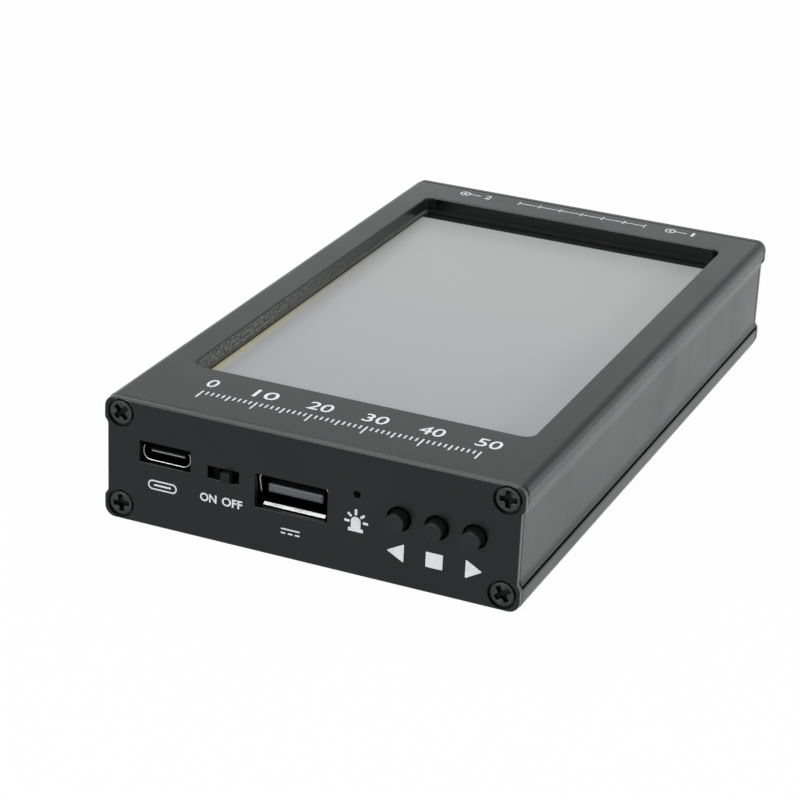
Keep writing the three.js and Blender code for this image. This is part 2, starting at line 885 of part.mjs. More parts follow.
// Slide switch: the knob's carriage is caught behind the switch's face. At rest it stands at OFF.
function addPowerSwitch() {
  const bodyFront = partsFrontY;
  const carriageFront = bodyFront + switchFace + switchPlay;
  const carriageRear = carriageFront + carriageThickness;
  const halfBody = switchBodyWidth / 2;
  const body = rectangle(
    switchX - halfBody,
    switchHeight - switchBodyRise,
    switchX + halfBody,
    portBoardBottomZ,
  );
  const play = 2 * switchPlay;
  const mouth = centred(switchX, switchHeight, knobWidth + switchTravel + play, knobTall + play);
  const track = centred(
    switchX,
    switchHeight,
    carriageWidth + switchTravel + play,
    carriageTall + play,
  );
  const shell = carved(prism('y', body, bodyFront, bodyFront + switchBodyDepth), [
    prism('y', mouth, bodyFront - overrun, bodyFront + switchFace + overrun),
    prism('y', track, bodyFront + switchFace, carriageRear + switchPlay),
  ]);
  const restX = switchX + switchTravel / 2;
  const knob = centred(0, 0, knobWidth, knobTall);
  const carriage = centred(0, 0, carriageWidth, carriageTall);
  const slider = joined([
    prism('y', knob, frontY - knobProud, carriageRear),
    prism('y', carriage, carriageFront, carriageRear),
  ]);
  add('power_switch_body', shell, blackPlastic);
  add('power_switch_knob', slider, blackPlastic).position.set(restX, 0, switchHeight);
}

function buttonPlaces() {
  return ['left', 'middle', 'right'].map((name, index) => {
    const x = buttonX + (index - 1) * buttonPitch;
    return { name, x };
  });
}

// A push button with its switch: the button's flange is caught behind the switch's face
function addButtons() {
  const bodyFront = partsFrontY;
  const flangeFront = bodyFront + buttonFace + buttonPlay;
  const flangeRear = flangeFront + buttonFlangeThickness;
  const wellRear = flangeRear + buttonTravel + buttonPlay;
  const stemRadius = buttonDiameter / 2;
  const flangeRadius = stemRadius + buttonFlangeLip;
  const faceY = frontY - buttonProud;
  const half = (buttonPitch - buttonSwitchGap) / 2;
  const stem = turned(
    [
      [0, faceY],
      [stemRadius - buttonRound, faceY],
      [stemRadius, faceY + buttonRound],
      [stemRadius, flangeFront],
      [flangeRadius, flangeFront],
      [flangeRadius, flangeRear],
      [0, flangeRear],
    ],
    buttonSides,
  );
  const well = turned(
    [
      [0, bodyFront - overrun],
      [stemRadius + buttonPlay, bodyFront - overrun],
      [stemRadius + buttonPlay, bodyFront + buttonFace],
      [flangeRadius + buttonPlay, bodyFront + buttonFace],
      [flangeRadius + buttonPlay, wellRear],
      [0, wellRear],
    ],
    buttonSides,
  );
  const block = rectangle(-half, -buttonSwitchDrop, half, portBoardBottomZ - buttonHeight);
  const body = carved(prism('y', block, bodyFront, bodyFront + buttonSwitchDepth), [well]);
  buttonPlaces().forEach(({ name, x }) => {
    add(`button_switch_${name}`, body, chipBlack).position.set(x, 0, buttonHeight);
    add(`button_${name}`, stem, blackPlastic).position.set(x, 0, buttonHeight);
  });
}

function addStatusLight() {
  const outline = centred(ledX, portBoardFrontY + ledDepth / 2, ledWidth, ledDepth);
  add('status_light', prism('z', outline, portBoardBottomZ - ledTall, portBoardBottomZ), lightLens);
}

// Coaxial jacks: y = 0 is the rear panel's inner face, and z = 0 the jack's axis

function addJacks() {
  Object.entries(bothSides).forEach(([name, side]) => {
    const jack = new THREE.Group();
    jack.position.set((side * jackSpacing) / 2, rearInnerY, jackZ);
    analyzer.add(jack);
    add(`jack_body_${name}`, jackBody(), gold, jack);
    add(`jack_insulator_${name}`, jackInsulator(), fluoropolymer, jack);
    add(`jack_contact_${name}`, jackContact(), gold, jack);
    const washerEnd = panelThickness + washerThickness;
    const bore = ring(0, 0, jackHole / 2, jackSides);
    const nutAcross = jackHole + 2 * nutWall;
    const washer = ring(0, 0, nutAcross / 2 + washerRim, jackSides);
    const nut = ring(0, 0, nutAcross / Math.sqrt(3), 6);
    add(`jack_washer_${name}`, prism('y', washer, panelThickness, washerEnd, [bore]), gold, jack);
    add(`jack_nut_${name}`, prism('y', nut, washerEnd, washerEnd + nutThickness, [bore]), gold, jack);
  });
}

function jackBody() {
  const end = panelThickness + jackProud;
  const back = -jackFlangeThickness;
  const barrelRadius = jackBarrel / 2;
  const boreRadius = jackBore / 2;
  const mouthRadius = boreRadius + jackMouthStep;
  const barrel = turned(
    [
      [0, back],
      [barrelRadius, back],
      [barrelRadius, end - jackChamfer],
      [barrelRadius - jackChamfer, end],
      [0, end],
    ],
    jackSides,
  );
  const bore = turned(
    [
      [0, back - overrun],
      [boreRadius, back - overrun],
      [boreRadius, end - jackMouthDepth],
      [mouthRadius, end - jackMouthDepth],
      [mouthRadius, end - jackMouthChamfer],
      [mouthRadius + jackMouthChamfer, end],
      [mouthRadius + jackMouthChamfer, end + overrun],
      [0, end + overrun],
    ],
    jackSides,
  );
  const flange = prism('y', centred(0, 0, jackFlange, jackFlange), back, 0);
  const legX = (jackFlange - jackLegWidth) / 2;
  const levels = [boardTopZ - jackZ, boardBottomZ - jackLegTall - jackZ];
  const legs = Object.values(bothSides).flatMap((side) =>
    levels.map((bottom) => {
      const foot = centred(side * legX, back - jackLegLength / 2, jackLegWidth, jackLegLength);
      return prism('z', foot, bottom, bottom + jackLegTall);
    }),
  );
  return joined([carved(joined([barrel, flange]), [bore]), ...legs]);
}

function jackInsulator() {
  const outer = jackBore / 2 - insulatorPlay;
  const inner = contactDiameter / 2 + insulatorPlay;
  const end = panelThickness + jackProud - jackMouthDepth;
  return prism('y', ring(0, 0, outer, jackSides), -jackFlangeThickness, end, [
    ring(0, 0, inner, pinSides),
  ]);
}

function jackContact() {
  const tailRadius = contactTail / 2;
  const pinRadius = contactDiameter / 2;
  const socketRadius = contactSocket / 2;
  const back = -jackFlangeThickness;
  const end = panelThickness + jackProud - jackMouthDepth;
  return turned(
    [
      [0, back - contactTailLength],
      [tailRadius, back - contactTailLength],
      [tailRadius, back],
      [pinRadius, back],
      [pinRadius, end],
      [socketRadius, end],
      [socketRadius, end - contactSocketDepth],
      [0, end - contactSocketDepth],
    ],
    pinSides,
  );
}

addHousing();
addDisplay();
addMainBoard();
addBattery();
addPortBoard();
addCharge();
addHost();
addPowerSwitch();
addButtons();
addStatusLight();
addJacks();

export default analyzer;
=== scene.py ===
import json
from math import cos, radians, sin

import bmesh
import bpy
import numpy as np
from mathutils import Matrix
from mathutils.geometry import tessellate_polygon


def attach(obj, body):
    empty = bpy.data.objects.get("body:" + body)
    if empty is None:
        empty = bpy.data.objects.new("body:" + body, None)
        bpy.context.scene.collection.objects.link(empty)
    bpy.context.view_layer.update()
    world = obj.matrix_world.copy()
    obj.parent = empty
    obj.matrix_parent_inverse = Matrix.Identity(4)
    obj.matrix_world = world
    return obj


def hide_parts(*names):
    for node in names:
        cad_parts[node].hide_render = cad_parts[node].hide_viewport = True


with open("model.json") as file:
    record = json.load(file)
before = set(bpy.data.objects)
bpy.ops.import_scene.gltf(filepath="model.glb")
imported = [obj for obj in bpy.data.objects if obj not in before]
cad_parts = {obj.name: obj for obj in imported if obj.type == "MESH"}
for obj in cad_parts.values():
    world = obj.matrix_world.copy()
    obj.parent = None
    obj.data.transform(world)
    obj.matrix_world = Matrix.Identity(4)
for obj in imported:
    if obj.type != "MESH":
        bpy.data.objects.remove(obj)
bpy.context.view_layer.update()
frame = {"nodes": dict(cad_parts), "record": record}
print("frame loaded:", len(frame["nodes"]), "nodes")

# All sizes below are in millimetres, in the CAD model's own frame
mm = 0.001


def unit(vector):
    return vector / np.linalg.norm(vector)


def linked(name, data):
    thing = bpy.data.objects.new(name, data)
    bpy.context.collection.objects.link(thing)
    return thing


# A camera or lamp, with its x, y and z axes and its place in metres
def placed(name, data, axes, place):
    thing = linked(name, data)
    matrix = np.eye(4)
    matrix[:3, :3] = np.stack(axes, 1)
    matrix[:3, 3] = place
    thing.matrix_world = Matrix(matrix.tolist())
    return thing


camera = {
    "azimuth": 22.87, "elevation": 23.343, "roll": -2.641,
    "distance": 476.534, "slide": (11.282, -5.984), "aim": (0, 0, 11),
    "focalPixels": 2607.3, "framePixels": 800, "sensor": 36,
}


# The camera looks back along the unit vector of its azimuth and elevation, turned about that line by its
# roll, and slides across the view so that the aim point lands off centre as in the photograph.
def addCamera(values):
    azimuth, elevation, roll = (radians(values[key]) for key in ("azimuth", "elevation", "roll"))
    back = np.array([sin(azimuth) * cos(elevation), -cos(azimuth) * cos(elevation), sin(elevation)])
    level = unit(np.cross(-back, [0, 0, 1]))
    down = np.cross(-back, level)
    right = cos(roll) * level + sin(roll) * down
    down = cos(roll) * down - sin(roll) * level
    slideRight, slideDown = values["slide"]
    place = np.array(values["aim"]) + back * values["distance"] - right * slideRight - down * slideDown
    data = bpy.data.cameras.new("photoCamera")
    data.sensor_width = values["sensor"]
    data.lens = values["sensor"] * values["focalPixels"] / values["framePixels"]
    data.clip_start, data.clip_end = 0.01, 20
    bpy.context.scene.camera = placed("photoCamera", data, [right, -down, back], place * mm)


addCamera(camera)
print("camera placed")


# Forms: numpy points and faces that are gathered for one mesh

def newForm():
    return {"points": [], "faces": [], "smooth": []}


def addPoints(form, points):
    start = sum(len(block) for block in form["points"])
    flat = np.asarray(points, float).reshape(-1, 3)
    form["points"].append(flat)
    return start + np.arange(len(flat)).reshape(points.shape[:-1])


def addFaces(form, faces, smooth):
    form["faces"] += np.asarray(faces).tolist()
    form["smooth"] += [smooth] * len(faces)


# Quads between two closed rows of points, or between two stacks of such rows
def quadsBetween(here, there):
    return np.stack([here, np.roll(here, -1, -1), np.roll(there, -1, -1), there], -1)


# Quads between neighbouring rows of points. Each row closes on itself, and so do the rows where joined.
def addRows(form, index, joined=False):
    here = index if joined else index[:-1]
    there = np.roll(index, -1, 0) if joined else index[1:]
    addFaces(form, quadsBetween(here, there).reshape(-1, 4), True)


# A flat face bounded by the first ring, with the other rings as its holes
def addCap(form, rings):
    index = np.concatenate([ring for ring, _ in rings])
    lines = [[(x, y, 0.0) for x, y in flat.tolist()] for _, flat in rings]
    triangles = np.array(tessellate_polygon(lines))
    addFaces(form, index[triangles], False)


# A closed outline whose corners [x, y, radius] become arcs: from the tangent point on one side, the point
# turns about the arc's centre to the tangent point on the next side.
def outline(corners, steps=8):
    table = np.array([(*corner, 0.0)[:3] for corner in corners], float)
    at, radius = table[:, :2], table[:, 2]
    back, ahead = np.roll(at, 1, 0) - at, np.roll(at, -1, 0) - at
    backLength, aheadLength = np.linalg.norm(back, axis=1), np.linalg.norm(ahead, axis=1)
    back, ahead = back / backLength[:, None], ahead / aheadLength[:, None]
    half = np.arccos(np.clip((back * ahead).sum(1), -1, 1)) / 2
    reach = np.minimum(radius / np.tan(half), 0.49 * np.minimum(backLength, aheadLength))
    middle = back + ahead
    middle /= np.linalg.norm(middle, axis=1)[:, None] + 1e-12
    centre = at + middle * (reach / np.cos(half))[:, None]
    start = at + back * reach[:, None] - centre
    quarter = np.stack([-start[:, 1], start[:, 0]], 1)
    turn = (2 * half - np.pi) * np.sign(back[:, 0] * ahead[:, 1] - back[:, 1] * ahead[:, 0])
    angle = (turn[:, None] * np.linspace(0, 1, steps + 1))[..., None]
    points = centre[:, None] + np.cos(angle) * start[:, None] + np.sin(angle) * quarter[:, None]
    points = points.reshape(-1, 2)
    return points[np.linalg.norm(points - np.roll(points, 1, 0), axis=1) > 1e-5]


def rectangle(x, y, width, height, radius=0.0, steps=8):
    w, h = width / 2, height / 2
    corners = ((x - w, y - h), (x + w, y - h), (x + w, y + h), (x - w, y + h))
    return outline([(*corner, radius) for corner in corners], steps)


def span(lowX, lowY, highX, highY, radius=0.0, steps=8):
    return rectangle((lowX + highX) / 2, (lowY + highY) / 2, highX - lowX, highY - lowY, radius, steps)


def fullTurn(steps):
    return np.linspace(0, 2 * np.pi, steps, endpoint=False)


def circle(x, y, radius, steps=48):
    angle = fullTurn(steps)
    return np.stack([x + radius * np.cos(angle), y + radius * np.sin(angle)], 1)


# The corners of an outline's right half, followed by their mirror image
def mirrored(half):
    return [*half, *[(-x, *rest) for x, *rest in reversed(half)]]


# Turns an outline about its origin by an angle in degrees
def turned(points, angle):
    a = radians(angle)
    return points @ np.array([[cos(a), sin(a)], [-sin(a), cos(a)]])


# Steps of a rounded edge: inset and depth follow 1 - sin t and 1 - cos t of a quarter turn
def roundEdge(size, steps=3):
    t = np.linspace(0, np.pi / 2, steps + 1)
    return [(size * (1 - sin(a)), size * (1 - cos(a))) for a in t]


# The same rounding at both ends of an edge of the given depth
def bothEdges(size, depth, steps=3):
    near = roundEdge(size, steps)
    return near + [(inset, depth - along) for inset, along in reversed(near)]


# An outline carried along an edge profile of [inset, depth] steps. A point moves into the material by the
# inset, along the mitre (n1 + n2) / (1 + n1 . n2) of its two sides' normals.
def carried(points, edge, hole):
    area = np.sum(points[:, 0] * np.roll(points[:, 1], -1) - np.roll(points[:, 0], -1) * points[:, 1])
    points = points[::-1] if (area > 0) == hole else points
    along = np.roll(points, -1, 0) - points
    along /= np.linalg.norm(along, axis=1)[:, None]
    normal = np.stack([-along[:, 1], along[:, 0]], 1)
    before = np.roll(normal, 1, 0)
    mitre = (normal + before) / (1 + (normal * before).sum(1))[:, None]
    inset, depth = np.array(edge, float).T
    flat = points[None] + mitre[None] * inset[:, None, None]
    deep = np.broadcast_to(depth[:, None, None], (*flat.shape[:2], 1))
    return np.concatenate([flat, deep], 2)


# A plate: every loop is (outline, edge profile) or (outline, edge profile, "blind") for a recess. The sides
# follow the profiles, flat faces close both ends, and place turns (u, v, depth) into (x, y, z).
def addPlate(form, loops, place):
    front, rear = [], []
    for number, (points, edge, *blind) in enumerate(loops):
        rings = carried(points, edge, number > 0)
        index = addPoints(form, place(rings))
        addRows(form, index)
        front.append((index[0], rings[0, :, :2]))
        if blind:
            addCap(form, [(index[-1], rings[-1, :, :2])])
        else:
            rear.append((index[-1], rings[-1, :, :2]))
    addCap(form, front)
    addCap(form, rear)
    return form


# A slab: one outline of even thickness, with the same rounding at both ends and plain holes
def addSlab(form, points, rounding, thick, place, steps=2, holes=()):
    loops = [(points, bothEdges(rounding, thick, steps))] + [(hole, [(0, 0), (0, thick)]) for hole in holes]
    return addPlate(form, loops, place)


# A surface swung about an axis: (radius cos t, radius sin t, height), where radius and height are arrays
# over the profile and, if they vary round the axis, over the angle too.
def addSwung(form, radius, height, place, steps=48, joined=False):
    angle = fullTurn(steps)
    columns = [np.asarray(values, float).reshape(len(values), -1) for values in (radius, height)]
    radius, height, angle = np.broadcast_arrays(*columns, angle[None])
    grid = np.stack([radius * np.cos(angle), radius * np.sin(angle), height], -1)
    addRows(form, addPoints(form, place(grid)), joined)
    return form


# Places: how (u, v, depth) of a form lies in the model, by the way in which its depth runs

def rearwards(y, x=0, z=0):
    return lambda p: np.stack([x + p[..., 0], y + p[..., 2], z + p[..., 1]], -1)


def forwards(y, x=0, z=0):
    return lambda p: np.stack([x - p[..., 0], y - p[..., 2], z + p[..., 1]], -1)


def downwards(z, x=0, y=0):
    return lambda p: np.stack([x + p[..., 0], y + p[..., 1], z - p[..., 2]], -1)


def rightwards(x, y=0, z=0):
    return lambda p: np.stack([x + p[..., 2], y + p[..., 0], z + p[..., 1]], -1)


# Turns a form into an object: doubles at poles merged, faces turned outwards, edges sharper than the
# given angle kept crisp, and the piece tied to its body, with the nodes that it stands for hidden. It has
# its slot's finish unless it is given another. Normals are weighted by face area, so that a long flat side
# isn't bent by the rounding at its ends.
def makePiece(name, form, slot=None, nodes=(), material=None, body="housing", sharp=32):
    mesh = bpy.data.meshes.new(name)
    points = np.concatenate(form["points"]) * mm
    mesh.from_pydata(points, [], form["faces"])
    mesh.polygons.foreach_set("use_smooth", form["smooth"])
    work = bmesh.new()
    work.from_mesh(mesh)
    bmesh.ops.remove_doubles(work, verts=work.verts, dist=1e-7)
    bmesh.ops.recalc_face_normals(work, faces=work.faces)
    work.to_mesh(mesh)
    work.free()
    mesh.set_sharp_from_angle(angle=radians(sharp))
    mesh.materials.append(material or finishes[slot])
    piece = linked(name, mesh)
    evened = piece.modifiers.new("evenedNormals", "WEIGHTED_NORMAL")
    evened.keep_sharp = True
    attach(piece, body)
    if nodes:
        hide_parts(*nodes)


# Shader nodes

# Gives each named or numbered input of a node its value, or links another node's output to it
def feed(tree, node, inputs):
    for key, value in inputs.items():
        if isinstance(value, bpy.types.NodeSocket):
            tree.links.new(value, node.inputs[key])
        else:
            node.inputs[key].default_value = value
    return node


def addNode(tree, kind, inputs=None):
    return feed(tree, tree.nodes.new("ShaderNode" + kind), inputs or {})


# Combines values or masks by a maths operation
def combined(tree, operation, *values):
    node = tree.nodes.new("ShaderNodeMath")
    node.operation = operation
    return feed(tree, node, dict(enumerate(values))).outputs[0]


# Blends two colours by a factor
def blended(tree, factor, first, second):
    node = tree.nodes.new("ShaderNodeMix")
    node.data_type = "RGBA"
    return feed(tree, node, {"Factor": factor, 6: first, 7: second}).outputs[2]


# A smooth step of a value: the least where it is at the first place, 1 where it is at the second
def smoothStep(tree, value, start, end, least=0.0):
    node = tree.nodes.new("ShaderNodeMapRange")
    node.interpolation_type = "SMOOTHSTEP"
    return feed(tree, node, {"Value": value, "From Min": start, "From Max": end, "To Min": least}).outputs[0]


# The x, y and z of a texture coordinate
def coordinates(tree, kind="Object"):
    return addNode(tree, "SeparateXYZ", {0: addNode(tree, "TexCoord").outputs[kind]}).outputs


# A mask that is 1 where the chosen coordinate of the piece, in millimetres, is past the given place
def past(tree, axis, place, blend, sign=1):
    start, end = (place - sign * blend / 2) * mm, (place + sign * blend / 2) * mm
    return smoothStep(tree, coordinates(tree)[axis], start, end)


# Noise at a place of the piece
def noise(tree, vector, scale, detail):
    return addNode(tree, "TexNoise", {"Vector": vector, "Scale": scale, "Detail": detail}).outputs["Fac"]


# Two sizes of noise over the piece: a fine one for the height and a broad one for the colour, both in
# the piece's own coordinates in metres.
def grainGroup():
    tree = bpy.data.node_groups.new("blastedGrain", "ShaderNodeTree")
    for label, kind, value in (
        ("Fine Scale", "Float", 6000.0), ("Broad Scale", "Float", 120.0), ("Stretch", "Vector", (1, 1, 1)),
        ("Light Colour", "Color", (1, 1, 1, 1)), ("Dark Colour", "Color", (0, 0, 0, 1)),
        ("Low Roughness", "Float", 0.4), ("High Roughness", "Float", 0.6),
    ):
        socket = tree.interface.new_socket(name=label, in_out="INPUT", socket_type="NodeSocket" + kind)
        socket.default_value = value
    for label, kind in (("Colour", "Color"), ("Roughness", "Float"), ("Height", "Float")):
        tree.interface.new_socket(name=label, in_out="OUTPUT", socket_type="NodeSocket" + kind)
    given = tree.nodes.new("NodeGroupInput").outputs
    spot = addNode(tree, "TexCoord").outputs["Object"]
    stretched = addNode(tree, "VectorMath", {0: spot, 1: given["Stretch"]})
    stretched.operation = "MULTIPLY"
    fine = noise(tree, stretched.outputs[0], given["Fine Scale"], 2)
    broad = noise(tree, stretched.outputs[0], given["Broad Scale"], 4)
    both = combined(tree, "MULTIPLY_ADD", fine, 0.35, broad)
    rough = addNode(tree, "MapRange", {
        "Value": broad, "From Min": 0.3, "From Max": 0.7,
        "To Min": given["Low Roughness"], "To Max": given["High Roughness"],
    })
    feed(tree, tree.nodes.new("NodeGroupOutput"), {
        "Colour": blended(tree, both, given["Dark Colour"], given["Light Colour"]),
        "Roughness": rough.outputs[0], "Height": fine,
    })
    return tree


grain = grainGroup()


# Materials

# A finish: the grain group's colour, roughness and height on a Principled shader
def finish(name, light, dark, rough=(0.45, 0.6), fine=6000, broad=120, stretch=(1, 1, 1), depth=0.02, **plain):
    material = bpy.data.materials.new(name)
    material.use_nodes = True
    tree = material.node_tree
    pattern = addNode(tree, "Group")
    pattern.node_tree = grain
    feed(tree, pattern, {
        "Fine Scale": fine, "Broad Scale": broad, "Stretch": stretch, "Light Colour": (*light, 1),
        "Dark Colour": (*dark, 1), "Low Roughness": rough[0], "High Roughness": rough[1],
    })
    bump = addNode(tree, "Bump", {"Distance": depth * mm, "Height": pattern.outputs["Height"]})
    feed(tree, tree.nodes["Principled BSDF"], {
        "Base Color": pattern.outputs["Colour"], "Roughness": pattern.outputs["Roughness"],
        "Normal": bump.outputs["Normal"], **{label.replace("_", " "): value for label, value in plain.items()},
    })
    return material


# Lays a colour over a material's own colour wherever the mask is 1
def tinted(material, mask, colour):
    tree = material.node_tree
    shader = tree.nodes["Principled BSDF"]
    own = shader.inputs["Base Color"].links[0].from_socket
    feed(tree, shader, {"Base Color": blended(tree, mask, own, (*colour, 1))})


# A material with another colour wherever y is past the given place
def tippedAt(material, place, blend, colour, sign=1):
    tinted(material, past(material.node_tree, "Y", place, blend, sign), colour)
    return material


film = {
    "light": (0.285, 0.295, 0.302), "dark": (0.265, 0.275, 0.282), "farLight": (0.33, 0.338, 0.33),
    "cream": (0.44, 0.41, 0.28), "border": (0.004, 0.0042, 0.0042), "rim": (0.03, 0.024, 0.01),
    "farLightFrom": 5, "farLightReach": 110, "creamEdge": 29.6, "creamBlend": 2.2, "creamFrom": 10, "creamReach": 80,
    "borderEdge": 30.85, "borderBlend": 0.25, "farBorder": 52.1, "farBlend": 0.2,
}


# The display behind its film: grey, with painted light that makes it lighter towards the rear, warmer in
# a strip along the sides, with a black border behind and at the sides
def filmFinish():
    material = finish("displayFilm", film["light"], film["dark"], (0.28, 0.4), 2500, 25, depth=0.001)
    tree = material.node_tree
    # painted light: the film grows lighter towards the rear
    tippedAt(material, film["farLightFrom"], film["farLightReach"], film["farLight"])
    near = past(tree, "Y", film["creamFrom"], film["creamReach"], -1)
    for colour, edge, blend, share in (
        ("cream", "creamEdge", "creamBlend", near), ("rim", "borderEdge", "borderBlend", 1.0),
    ):
        sides = [past(tree, "X", sign * film[edge], film[blend], sign) for sign in (-1, 1)]
        strips = combined(tree, "MAXIMUM", *sides)
        tinted(material, combined(tree, "MULTIPLY", strips, share), film[colour])
    return tippedAt(material, film["farBorder"], film["farBlend"], film["border"])


anodised = {
    "light": (0.011, 0.0122, 0.012), "dark": (0.007, 0.0078, 0.0078), "rough": (0.26, 0.35), "fine": 4200,
    "broad": 60, "depth": 0.004, "IOR": 1.45, "Specular_Tint": (0.93, 1, 0.985, 1),
}
# painted light and shade of the window's walls: lit pebbles, their dark ground and the shaded far wall
walls = {
    "top": 21.75, "side": 31.25, "front": -46.3, "blend": 0.1, "rear": 54.4, "rearBlend": 0.5,
    "fadeFrom": 5, "fadeReach": 60, "pebbles": 1900, "contrast": (0.4, 0.62),
    "light": (0.12, 0.128, 0.124), "dark": (0.007, 0.0075, 0.007), "black": (0.017, 0.018, 0.018),
}


# The lid's finish, with painted light and shade on the window's walls: lit and dark pebbles on the side walls
# that fade towards the rear, and painted shade that makes the far wall black: masks hold each tint inside a box
# that has only that wall
def lidFinish():
    material = finish("lidAnodised", **anodised)
    tree = material.node_tree
    inside = past(tree, "Z", walls["top"], walls["blend"], -1)
    for axis, place, sign in (("X", -walls["side"], 1), ("X", walls["side"], -1), ("Y", walls["front"], 1)):
        inside = combined(tree, "MULTIPLY", inside, past(tree, axis, place, walls["blend"], sign))
    sides = combined(tree, "MULTIPLY", inside, past(tree, "Y", walls["fadeFrom"], walls["fadeReach"], -1))
    rear = combined(tree, "MULTIPLY", inside, past(tree, "Y", walls["rear"], walls["rearBlend"]))
    # painted shade: the far wall is tinted black
    tinted(material, rear, walls["black"])
    feed(tree, tree.nodes["Principled BSDF"], {"Metallic": rear})  # metallic with the dark colour takes the display's reflection off the far wall, as painted shade
    cells = noise(tree, addNode(tree, "TexCoord").outputs["Object"], walls["pebbles"], 3)
    low, high = walls["contrast"]
    contrast = addNode(tree, "MapRange", {"Value": cells, "From Min": low, "From Max": high}).outputs[0]
    # painted light and shade: a dark ground with lit pebbles on the side walls, fading towards the rear
    tinted(material, sides, walls["dark"])
    tinted(material, combined(tree, "MULTIPLY", sides, contrast), walls["light"])
    return material


# painted highlight round the end plates' rim
rimHighlight = {
    "colour": (0.036, 0.039, 0.038), "face": 64.93, "top": 21.6, "side": 36.7, "corner": 56.8, "blend": 0.1,
}


# The end plates' finish, in darker tones than the lid's as painted shade, with a painted highlight that makes
# it lighter round the rim: where z, |x| or |x| + z lies past the rim's place, as far as it isn't the face
# itself
def panelFinish():
    # painted shade: darker tones of the same anodising
    shadedTones = {"light": (0.0055, 0.0062, 0.0062), "dark": (0.0035, 0.004, 0.004)}
    material = finish("panelAnodised", **{**anodised, **shadedTones})
    tree = material.node_tree
    place = coordinates(tree)
    aside, along = (combined(tree, "ABSOLUTE", place[axis]) for axis in ("X", "Y"))
    values = {"corner": combined(tree, "ADD", aside, place["Z"]), "top": place["Z"], "side": aside}
    outer = 0.0
    for key, value in values.items():
        over = smoothStep(tree, value, rimHighlight[key] * mm, (rimHighlight[key] + rimHighlight["blend"]) * mm)
        outer = combined(tree, "MAXIMUM", outer, over)
    off = smoothStep(tree, along, rimHighlight["face"] * mm, (rimHighlight["face"] - rimHighlight["blend"]) * mm)
    tinted(material, combined(tree, "MULTIPLY", outer, off), rimHighlight["colour"])
    return material


# A socket shell's plating: bright at its mouth, with painted shade that makes it dark inside
def shellFinish(name, mouth):
    material = finish(name, (0.66, 0.655, 0.63), (0.5, 0.495, 0.475),
                      (0.2, 0.32), 2500, 300, (1, 0.15, 1), 0.004, Metallic=1.0)
    return tippedAt(material, mouth, 0.15, (0.012, 0.0122, 0.0125))


# The host socket's tongue: its face is the only part of it that light reaches
def tongueFinish(face):
    material = finish("tonguePlastic", (0.088, 0.089, 0.102), (0.068, 0.068, 0.079),
                      (0.4, 0.55), 5000, 400, depth=0.01)
    return tippedAt(material, face, 0.15, (0.01, 0.01, 0.011))


# Screws: blackened heads, whose recess is painted dark as shade
def screwFinish(face):
    material = finish("screwSteel", (0.06, 0.064, 0.064), (0.006, 0.0065, 0.007),
                      (0.34, 0.5), 4000, 1400, depth=0.012, Metallic=0.6)
    deep = [past(material.node_tree, "Y", sign * face, 0.15, -sign) for sign in (-1, 1)]
    tinted(material, combined(material.node_tree, "MULTIPLY", *deep), (0.004, 0.004, 0.004))
    return material


# Black plastic of the button caps and the slide knob, matt, with painted light and shade that make the face
# lighter than its dark sides
def capFinish(name, face, colour):
    material = finish(name, (0.006, 0.0064, 0.0066), (0.004, 0.0043, 0.0045),
                      (0.4, 0.5), 5000, 500, depth=0.008, Specular_IOR_Level=0.15)
    return tippedAt(material, face, 0.16, colour, -1)


# The window's gasket, pebbled like the walls over it, with painted shade that makes it black at the rear
def gasketFinish():
    material = finish("windowFoam", (0.1, 0.105, 0.1), (0.01, 0.01, 0.01),
                      (0.85, 0.97), 1900, 700, depth=0.05)
    return tippedAt(material, walls["rear"], walls["rearBlend"], film["border"])


